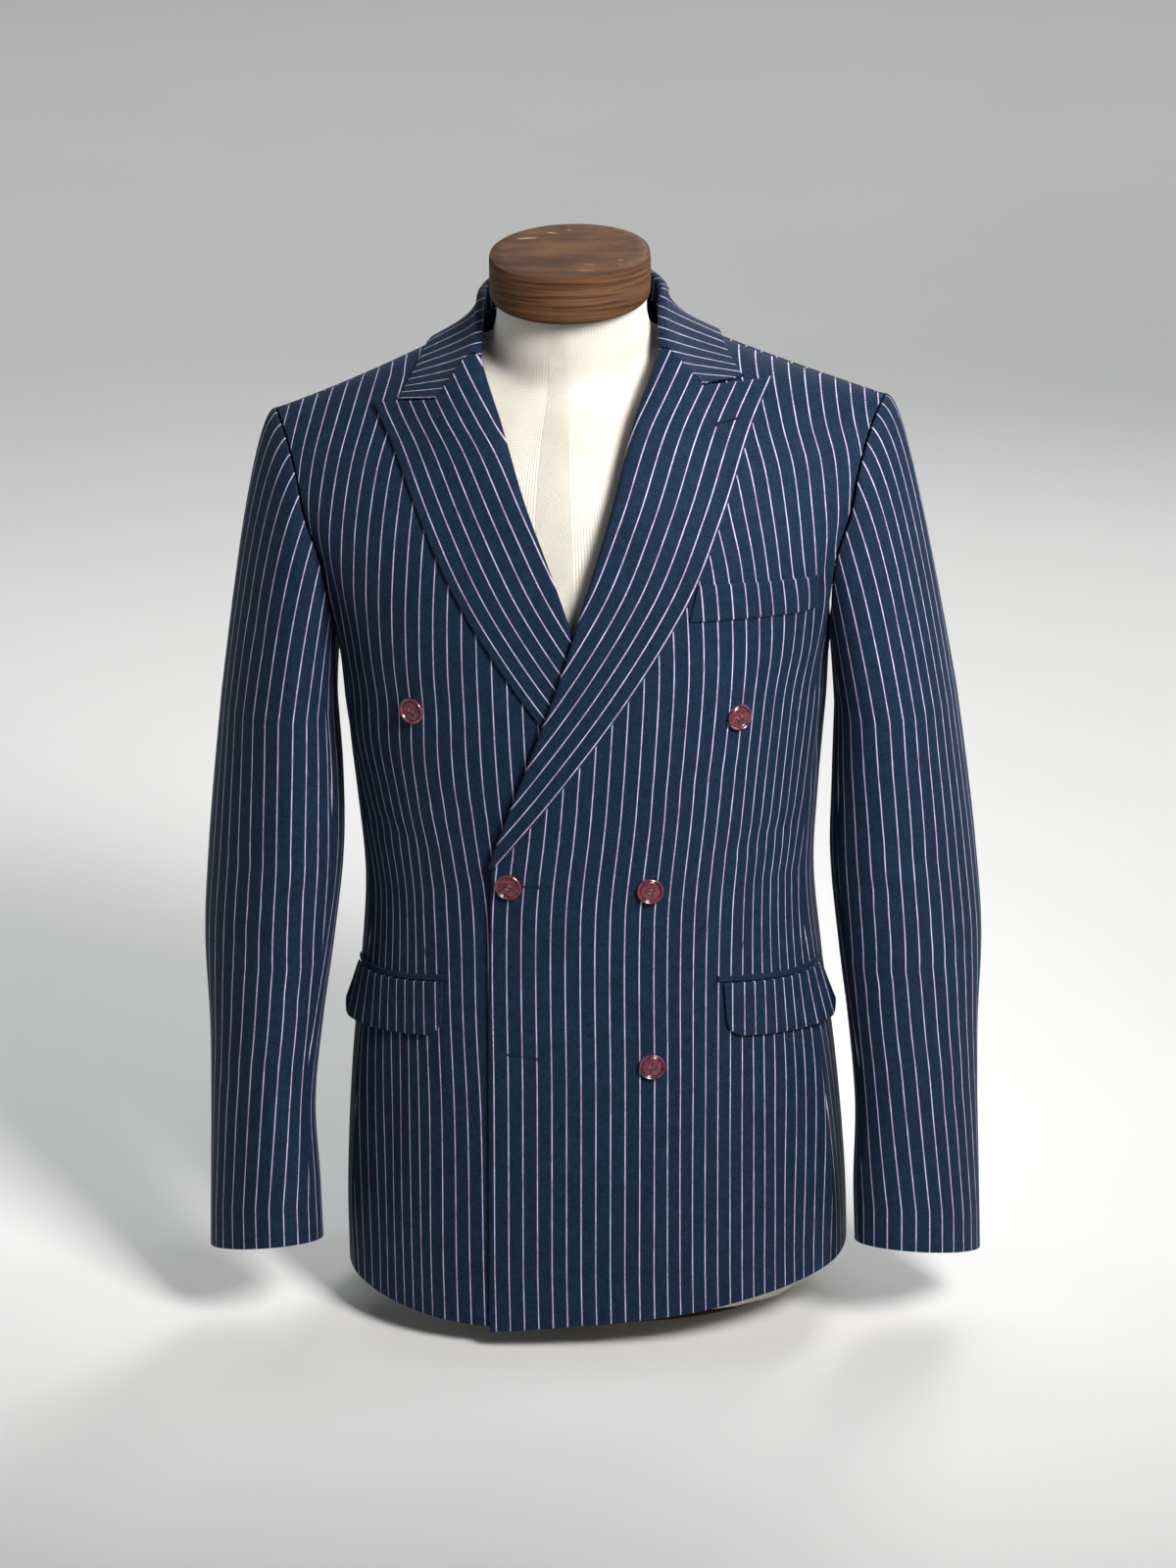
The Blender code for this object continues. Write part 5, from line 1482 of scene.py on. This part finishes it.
def add_stitches(name, parts, side):
    """Threads of the cloth's own colour as one piece."""
    points, faces = join(parts)
    piece = add_mesh(name, settle_all(points, side), faces,
                     thread_material("navy_thread", NAVY_THREAD_DARK, NAVY_THREAD_LIGHT))
    stand_for(piece, None)


def make_stitches(side, front, lapel, flap):
    """Fine hand stitches beside the edges of the front, the lapel and the flap."""
    parts = []
    if side == LEFT:
        parts += stitch_parts(*inset_path(front[:SKIRT_ROWS + 2]))
    parts += stitch_parts(*inset_path(lapel[:, ::-1]), 2 * STITCH_ENDS)
    parts += stitch_parts(*inset_path(lapel.swapaxes(0, 1)[::-1, ::-1][:GORGE_FROM_EDGE]))
    for grid in (flap.swapaxes(0, 1), flap[::-1], flap[::-1, ::-1]):
        path, out = inset_path(grid)
        parts += stitch_parts(path, out if out[:, 1].mean() < 0 else -out)
    add_stitches(f"edge_stitches_{side_name(side)}", parts, side)


def slit_parts(start, end, out):
    """A worked buttonhole: close bars of thread on both sides of a slit, and a bar tack."""
    along = (end - start).normalized()
    aside = along.cross(out).normalized()
    parts = []
    for k in range(int((end - start).length / BAR_PITCH)):
        for hand in (-1, 1):
            here = start + along * (k + 0.5 * (hand > 0)) * BAR_PITCH
            wide = BAR_LONG * (1 + BAR_UNEVEN * math.sin(k * BAR_PHASE + hand)) * hand
            parts.append(tube([here + aside * wide * share + out * BAR_RISE * lift
                               for share, lift in BAR_PATH]))
    for step in (-1, 0, 1):
        here = end + along * step * BAR_RADIUS * KNOT_SPACING
        parts.append(tube([here + aside * share * KNOT_HALF + out * BAR_RISE * lift
                           for share, lift in KNOT_PATH]))
    return parts


def make_slits(lapel):
    """The buttonholes of the left front and its lapel."""
    for slit in SLITS:
        start, end = over_front(slit.x_a, slit.z_a, LEFT), over_front(slit.x_b, slit.z_b, LEFT)
        out = body_normal(turn_at((slit.x_a + slit.x_b) / 2, slit.z_a), slit.z_a, LEFT)
        add_stitches(slit.name, slit_parts(start, end, out), LEFT)
    slit = LAPEL_SLIT
    start, out = nearest_on(lapel, slit.x_b, slit.z_b)
    end, _ = nearest_on(lapel, slit.x_a, slit.z_a)
    add_stitches(slit.name, slit_parts(start, end, out), LEFT)


def nearest_on(points, x, z):
    """Point and normal of a grid where it has this x and z."""
    away = (points[..., 0] - x) ** 2 + (points[..., 2] - z) ** 2
    place = np.unravel_index(np.argmin(away), away.shape)
    near, out = points[place], grid_normals(points)[place]
    y = near[1] - (out[0] * (x - near[0]) + out[2] * (z - near[2])) / out[1]
    return Vector((x, y, z)), Vector(out)


def make_dart(side):
    """The fine seam of the front's dart, from the chest down to the pocket."""
    path = [over_front(read(DART, "x", z), z, side, -DART_SUNK)
            for z in steps(DART_ROWS, DART[0].height, DART[-1].height)]
    add_stitches(f"front_dart_{side_name(side)}", [tube(path, DART_HALF)], side)


def make_tacks(side):
    """A small filled arrowhead of thread at the pocket's inner end."""
    x, z = TACKS[side]
    out = body_normal(turn_at(x, z), z, side)
    middle = over_front(x, z, side)
    up = (UP - out * out.z).normalized()
    aside = up.cross(out).normalized()
    aside = aside if aside.x < 0 else -aside
    parts = []
    for share in steps(TACK_BARS, -1, 1):
        wide = TACK_WIDTH * (1 - abs(share))
        places = ((-TACK_SPARE[0], -1), (0.0, 1), (wide, 1), (wide + TACK_SPARE[1], -1))
        here = middle + up * share * TACK_HEIGHT / 2
        parts.append(tube([here + aside * place + out * BAR_RISE * lift for place, lift in places]))
    add_stitches(f"pocket_tack_{side_name(side)}", parts, side)


# --------------------------------------------------------------- dress form
def form_drop(x):
    """How far the form's shoulder is below the cloth's outer face."""
    away = smooth((abs(x) - NECK_X) / FORM_NECK_REACH)
    return WALL + mix(FORM_NECK_CLEAR, FORM_TOP_CLEAR, away)


def form_depths(x, height):
    """Front and back of the torso at a distance from the middle, or None outside."""
    clear = WALL + read(FORM, "clear", height)
    half = min(read(BODY, "half", height) - clear, FORM_END_X)
    lower = form_drop(x)
    if abs(x) >= half or ridge(x)[1] - lower <= height:
        return None
    round_off = (1 - (abs(x) / half) ** SQUARENESS) ** (1 / SQUARENESS)
    front = -(read(BODY, "front", height) - clear) * round_off
    back = (read(BODY, "back", height) - clear) * round_off
    return [close_over(x, y, height, False, lower, FORM_POWER) for y in (front, back)]


def form_radius(angle, height, centre_y):
    """Distance from the axis to the torso's skin in one direction."""
    aim = Vector((math.sin(angle), -math.cos(angle)))
    near, far = 0.0, FORM_FAR
    for _ in range(FORM_HALVINGS):
        middle = (near + far) / 2
        depths = form_depths(aim.x * middle, height)
        y = aim.y * middle + centre_y
        inside = depths and depths[0] < y < depths[1]
        near, far = (middle, far) if inside else (near, middle)
    return near


def neck_radius(angle, height):
    half, depth = read(NECK, "half", height), read(NECK, "depth", height)
    return 1 / math.hypot(math.sin(angle) / half, math.cos(angle) / depth)


def form_ring(height):
    """The torso below the shoulders, the neck above, and the larger between."""
    ring = []
    own_shift = BLOCK_CENTRE[0] - NECK_SHIFT
    centre_y = mix(NECK_Y / 2, read(NECK, "centre_y", height),
                   smooth((height - FORM_MIDDLE_FROM) / FORM_MIDDLE_REACH))
    tip = smooth((height - NECK_TILT_FROM) / (NECK[-1].height - NECK_TILT_FROM))
    for k in range(FORM_SIDES):
        angle = 2 * math.pi * k / FORM_SIDES
        radius = form_radius(angle, height, centre_y) if height < FORM_NECK_Z else 0.0
        if height > NECK[0].height:
            neck = neck_radius(angle, height)
            radius = (radius ** FORM_BLEND + neck ** FORM_BLEND) ** (1 / FORM_BLEND)
        x, y = radius * math.sin(angle), centre_y - radius * math.cos(angle)
        z = height + tip * math.tan(BLOCK_TILT) * (y - centre_y)
        ring.append(settle(Vector((x + own_shift * tip, y, z)))[:])
    return np.array(ring)


def oval(half, front, back, centre, tilt):
    """A level ring, or one that tips forward, with its own depth in front and behind."""
    ring = []
    for k in range(BLOCK_SEGMENTS):
        angle = 2 * math.pi * k / BLOCK_SEGMENTS
        y = -(front if math.cos(angle) > 0 else back) * math.cos(angle)
        ring.append(Vector((centre[0] + half * math.sin(angle), centre[1] + y,
                            centre[2] + y * math.tan(tilt)))[:])
    return np.array(ring)


def capped(rings):
    """Rings with more of them drawn in over both ends."""
    def over(ring):
        centre = ring.mean(axis=0)
        return [centre + (ring - centre) * share for share in CAP_SHRINK]
    return over(rings[0])[::-1] + rings + over(rings[-1])


def make_form():
    heights = steps(FORM_HEIGHTS, PLINTH_HEIGHT + SEAM_GAP, FORM_DENSE_FROM)[:-1]
    heights += steps(FORM_DENSE, FORM_DENSE_FROM, NECK[-1].height)
    rings = capped([form_ring(height) for height in heights])
    points, faces = loft(rings)
    run = np.concatenate([np.arange(FORM_SIDES) / FORM_SIDES] * len(rings))
    piece = add_mesh("torso_form_jersey", points, faces, jersey_material(),
                     np.stack([run, points[:, 2]], axis=1))
    stand_for(piece, "torso_form")


def make_turned(node, profile, size, centre, tilt=0.0):
    """A turned wooden piece, from a profile that is read with more steps between its rows."""
    rings = []
    for key in np.linspace(0, len(profile) - 1, BLOCK_RINGS):
        shrink, drop = read(profile, "shrink", key), read(profile, "drop", key)
        place = (*centre[:2], centre[2] - drop)
        rings.insert(0, oval(*(length - shrink for length in size), place, tilt))
    piece = add_mesh(f"{node}_wood", *loft(capped(rings)), wood_material())
    stand_for(piece, node)


# ---------------------------------------------------------------- materials
class Graph:
    """A Principled material whose nodes are added one call at a time."""

    def __init__(self, name, roughness, **fixed):
        self.material = bpy.data.materials.new(name)
        self.material.use_nodes = True
        self.tree = self.material.node_tree
        self.shader = self.tree.nodes["Principled BSDF"]
        self.shader.inputs["Roughness"].default_value = roughness
        for key, value in fixed.items():
            self.shader.inputs[key.replace("_", " ")].default_value = value
        self.place = self.add("TexCoord", output=3)

    def add(self, kind, inputs=(), output=0, **settings):
        node = self.tree.nodes.new("ShaderNode" + kind)
        for key, value in settings.items():
            setattr(node, key, value)
        for key, value in (inputs.items() if isinstance(inputs, dict) else enumerate(inputs)):
            if isinstance(value, bpy.types.NodeSocket):
                self.tree.links.new(value, node.inputs[key])
            else:
                node.inputs[key].default_value = value
        return node.outputs[output]

    def math(self, operation, *values):
        return self.add("Math", values, operation=operation)

    def plus(self, a, b, share=None):
        """Sum of two values, the second of them times a share."""
        return self.math("ADD", a, b if share is None else self.math("MULTIPLY", b, share))

    def wave(self, value, turns):
        return self.math("SINE", self.math("MULTIPLY", value, 2 * math.pi * turns))

    def axis(self, vector, output):
        return self.add("SeparateXYZ", (vector,), output=output)

    def cut_axes(self):
        """Places across and along the cut, in metres."""
        cut = self.add("UVMap", uv_map="cut")
        return self.axis(cut, 0), self.axis(cut, 1)

    def stretched(self, vector, by):
        return self.add("VectorMath", (vector, by), operation="MULTIPLY")

    def noise(self, scale, detail=3.0, roughness=0.55, distortion=0.0, at=None):
        return self.add("TexNoise", {"Vector": self.place if at is None else at, "Scale": scale,
                                     "Detail": detail, "Roughness": roughness,
                                     "Distortion": distortion})

    def spread(self, value, low, high, to_low=0.0, to_high=1.0):
        return self.add("MapRange", (value, low, high, to_low, to_high),
                        interpolation_type="SMOOTHSTEP")

    def mix(self, share, a, b):
        return self.add("Mix", {0: share, 6: a, 7: b}, output=2, data_type="RGBA")

    def finish(self, colour, bump=None, strength=0.3, distance=0.0002, roughness=None):
        self.tree.links.new(colour, self.shader.inputs["Base Color"])
        if bump is not None:
            out = self.add("Bump", {"Height": bump, "Strength": strength, "Distance": distance})
            self.tree.links.new(out, self.shader.inputs["Normal"])
        if roughness is not None:
            self.tree.links.new(roughness, self.shader.inputs["Roughness"])
        return self.material


@cache
def cloth_material():
    """Dark blue worsted with a soft twill and fine lilac stripes at whole pitches."""
    graph = Graph("suiting", 0.80, Sheen_Weight=SHEEN, Sheen_Roughness=0.45,
                  Sheen_Tint=SHEEN_TINT, Specular_IOR_Level=0.12)
    across, along = graph.cut_axes()
    turns = graph.math("DIVIDE", across, PITCH)
    off = graph.math("ABSOLUTE", graph.math("SUBTRACT", turns, graph.math("ROUND", turns)))
    rough = graph.noise(900.0, 2.0)
    away = graph.plus(graph.math("MULTIPLY", off, PITCH), graph.math("SUBTRACT", rough, 0.5),
                      STRIPE_WAVER)
    line = graph.spread(away, STRIPE_HALF, STRIPE_EDGE, 1.0, 0.0)
    flank = graph.spread(away, STRIPE_EDGE, STRIPE_FLANK, 1.0, 0.0)
    fine, broad, slow = graph.noise(820.0), graph.noise(150.0, 4.0), graph.noise(60.0, 2.0)
    ground = graph.mix(graph.spread(fine, 0.30, 0.70), CLOTH_DARK, CLOTH_LIGHT)
    ground = graph.mix(graph.spread(broad, 0.35, 0.75, 0.0, 0.35), ground, CLOTH_GREY)
    ground = graph.mix(graph.math("MULTIPLY", flank, 0.55), ground, STRIPE_PURPLE)
    stitch = graph.wave(along, 1 / STRIPE_STITCH)
    tint = graph.plus(graph.math("MULTIPLY", rough, 0.5), stitch, 0.06)
    tint = graph.spread(graph.plus(tint, slow, 0.5), 0.34, 0.60)
    colour = graph.mix(line, ground, graph.mix(tint, STRIPE_DARK, STRIPE_LIGHT))
    bump = graph.plus(fine, graph.wave(graph.plus(across, along), 1 / TWILL), 0.25)
    return graph.finish(colour, graph.plus(bump, line, 0.5), strength=0.35, distance=0.00012)


@cache
def button_material():
    """Glossy burgundy resin with a faint swirl."""
    graph = Graph("button_resin", 0.24, Specular_IOR_Level=0.35, Coat_Weight=0.9,
                  Coat_Roughness=0.07)
    swirl = graph.noise(190.0, detail=5.0, roughness=0.6, distortion=1.6)
    colour = graph.mix(graph.spread(swirl, 0.32, 0.68), BUTTON_DARK, BUTTON_LIGHT)
    return graph.finish(colour, graph.noise(2400.0, 2.0), strength=0.12, distance=0.00005)


@cache
def thread_material(name, dark, light):
    graph = Graph(name, 0.7, Specular_IOR_Level=0.2)
    ply = graph.noise(3000.0, 2.0)
    return graph.finish(graph.mix(ply, dark, light), ply, strength=0.5, distance=0.0001)


def jersey_material():
    """Off-white jersey with fine ribs, painted shade in their hollows, and a little soiling."""
    graph = Graph("form_jersey", 0.85, Sheen_Weight=0.25, Sheen_Roughness=0.6)
    round_it, up = graph.cut_axes()
    knit = graph.plus(graph.wave(round_it, JERSEY_RIBS), graph.wave(up, 1 / JERSEY_LOOP), 0.4)
    colour = graph.mix(graph.spread(graph.noise(9.0, 4.0), 0.35, 0.75), JERSEY_LIGHT, JERSEY_SOILED)
    # painted shade in the hollows of the ribs, darkest where the knit is lowest
    colour = graph.mix(graph.spread(knit, -1.4, 0.2, 0.35, 0.0), colour, JERSEY_RIB_SHADE)
    return graph.finish(colour, graph.plus(knit, graph.noise(600.0)), strength=0.5,
                        distance=0.0003)


@cache
def wood_material():
    """Dark lacquered wood with fine grain, and light chips towards the block's top."""
    graph = Graph("dark_wood", 0.6, Specular_IOR_Level=0.06)
    fibres = graph.stretched(graph.place, WOOD_STRETCH)
    grain = graph.noise(1.0, 6.0, 0.65, at=fibres)
    pores = graph.noise(1.0, at=graph.stretched(fibres, PORE_STRETCH))
    colour = graph.mix(graph.spread(grain, 0.30, 0.70), WOOD_DARK, WOOD_LIGHT)
    colour = graph.mix(graph.spread(pores, 0.58, 0.70, 0.0, 0.6), colour, WOOD_PORE)
    high = graph.spread(graph.axis(graph.place, 2), CHIP_FROM, CHIP_TO)
    chips = graph.spread(graph.noise(2.6, 5.0, at=fibres), 0.64, 0.68)
    colour = graph.mix(graph.math("MULTIPLY", high, chips), colour, WOOD_CHIP)
    return graph.finish(colour, graph.plus(grain, pores), strength=0.25, distance=0.0004,
                        roughness=graph.spread(grain, 0.2, 0.8, 0.54, 0.68))


def floor_material():
    graph = Graph("pale_floor", 0.9)
    return graph.finish(graph.mix(graph.noise(2.0), FLOOR_A, FLOOR_B))


# ------------------------------------------------------------------ the stage
def make_floor():
    """A pale round floor whose far edge curves up."""
    rings = []
    for share in steps(FLOOR_RINGS):
        rings.append(ring_points(FLOOR_FLAT * share + FLOOR_START, 0.0, FLOOR_SEGMENTS))
    for share in steps(FLOOR_RINGS)[1:]:
        angle = math.pi / 2 * share
        rings.append(ring_points(FLOOR_FLAT + FLOOR_CURVE * math.sin(angle),
                                 FLOOR_CURVE * (1 - math.cos(angle)), FLOOR_SEGMENTS))
    points, faces = loft(rings, closed_ends=False)
    faces.append(list(range(FLOOR_SEGMENTS)))
    floor = add_mesh("studio_floor", points, faces, floor_material())


def make_light(name, place, size, power, colour, aim, spread):
    """An area light aimed at a point."""
    data = bpy.data.lights.new(name, "AREA")
    data.shape, data.size, data.size_y = "RECTANGLE", *size
    data.energy, data.color, data.spread = power, colour, math.radians(spread)
    light = link(name, data)
    light.location = place
    light.rotation_mode = "QUATERNION"
    light.rotation_quaternion = (Vector(aim) - Vector(place)).to_track_quat("-Z", "Y")


def make_camera():
    """At the photograph's angle: turned a little, looking down, slightly rolled."""
    turn, rise, roll = (math.radians(a) for a in CAMERA_ANGLES)
    level = math.cos(rise)
    back = Vector((math.sin(turn) * level, -math.cos(turn) * level, math.sin(rise)))
    right = (-back).cross(UP).normalized()
    right = right * math.cos(roll) + right.cross(-back) * math.sin(roll)
    data = bpy.data.cameras.new("camera")
    data.sensor_fit, data.sensor_height, data.sensor_width = "VERTICAL", SENSOR, SENSOR
    data.lens = SENSOR * CAMERA_FOCUS / IMAGE_HEIGHT
    camera = link("camera", data)
    turned = Matrix((right, right.cross(-back), back)).transposed().to_4x4()
    camera.matrix_world = Matrix.Translation(Vector(AIM) + back * CAMERA_DISTANCE) @ turned
    bpy.context.scene.camera = camera


# ------------------------------------------------------------------- make all
for wearer_side in (LEFT, RIGHT):
    front_grid = make_front(wearer_side)
    make_side(wearer_side)
    make_back(wearer_side)
    lapel_grid = make_lapel(wearer_side)
    make_sleeves(wearer_side)
    flap_grid = make_flap(wearer_side)
    make_jet(wearer_side)
    make_tacks(wearer_side)
    make_dart(wearer_side)
    make_stitches(wearer_side, front_grid, lapel_grid, flap_grid)
    if wearer_side == LEFT:
        make_slits(lapel_grid)
make_collar()
make_welt()
make_buttons()
make_form()
make_turned("neck_block", BLOCK_PROFILE, (BLOCK_HALF, BLOCK_DEPTH, BLOCK_DEPTH), BLOCK_CENTRE,
            BLOCK_TILT)
make_turned("plinth", PLINTH_PROFILE, (PLINTH_HALF, PLINTH_FRONT, PLINTH_BACK),
            (0, 0, PLINTH_HEIGHT))
make_floor()
for light_row in LIGHTS:
    make_light(*light_row)
world = bpy.data.worlds.new("studio")
world.use_nodes = True
world.node_tree.nodes["Background"].inputs[0].default_value = (*WORLD_COLOUR, 1.0)
world.node_tree.nodes["Background"].inputs[1].default_value = WORLD_STRENGTH
bpy.context.scene.world = world
bpy.context.scene.view_settings.view_transform = "Standard"
make_camera()
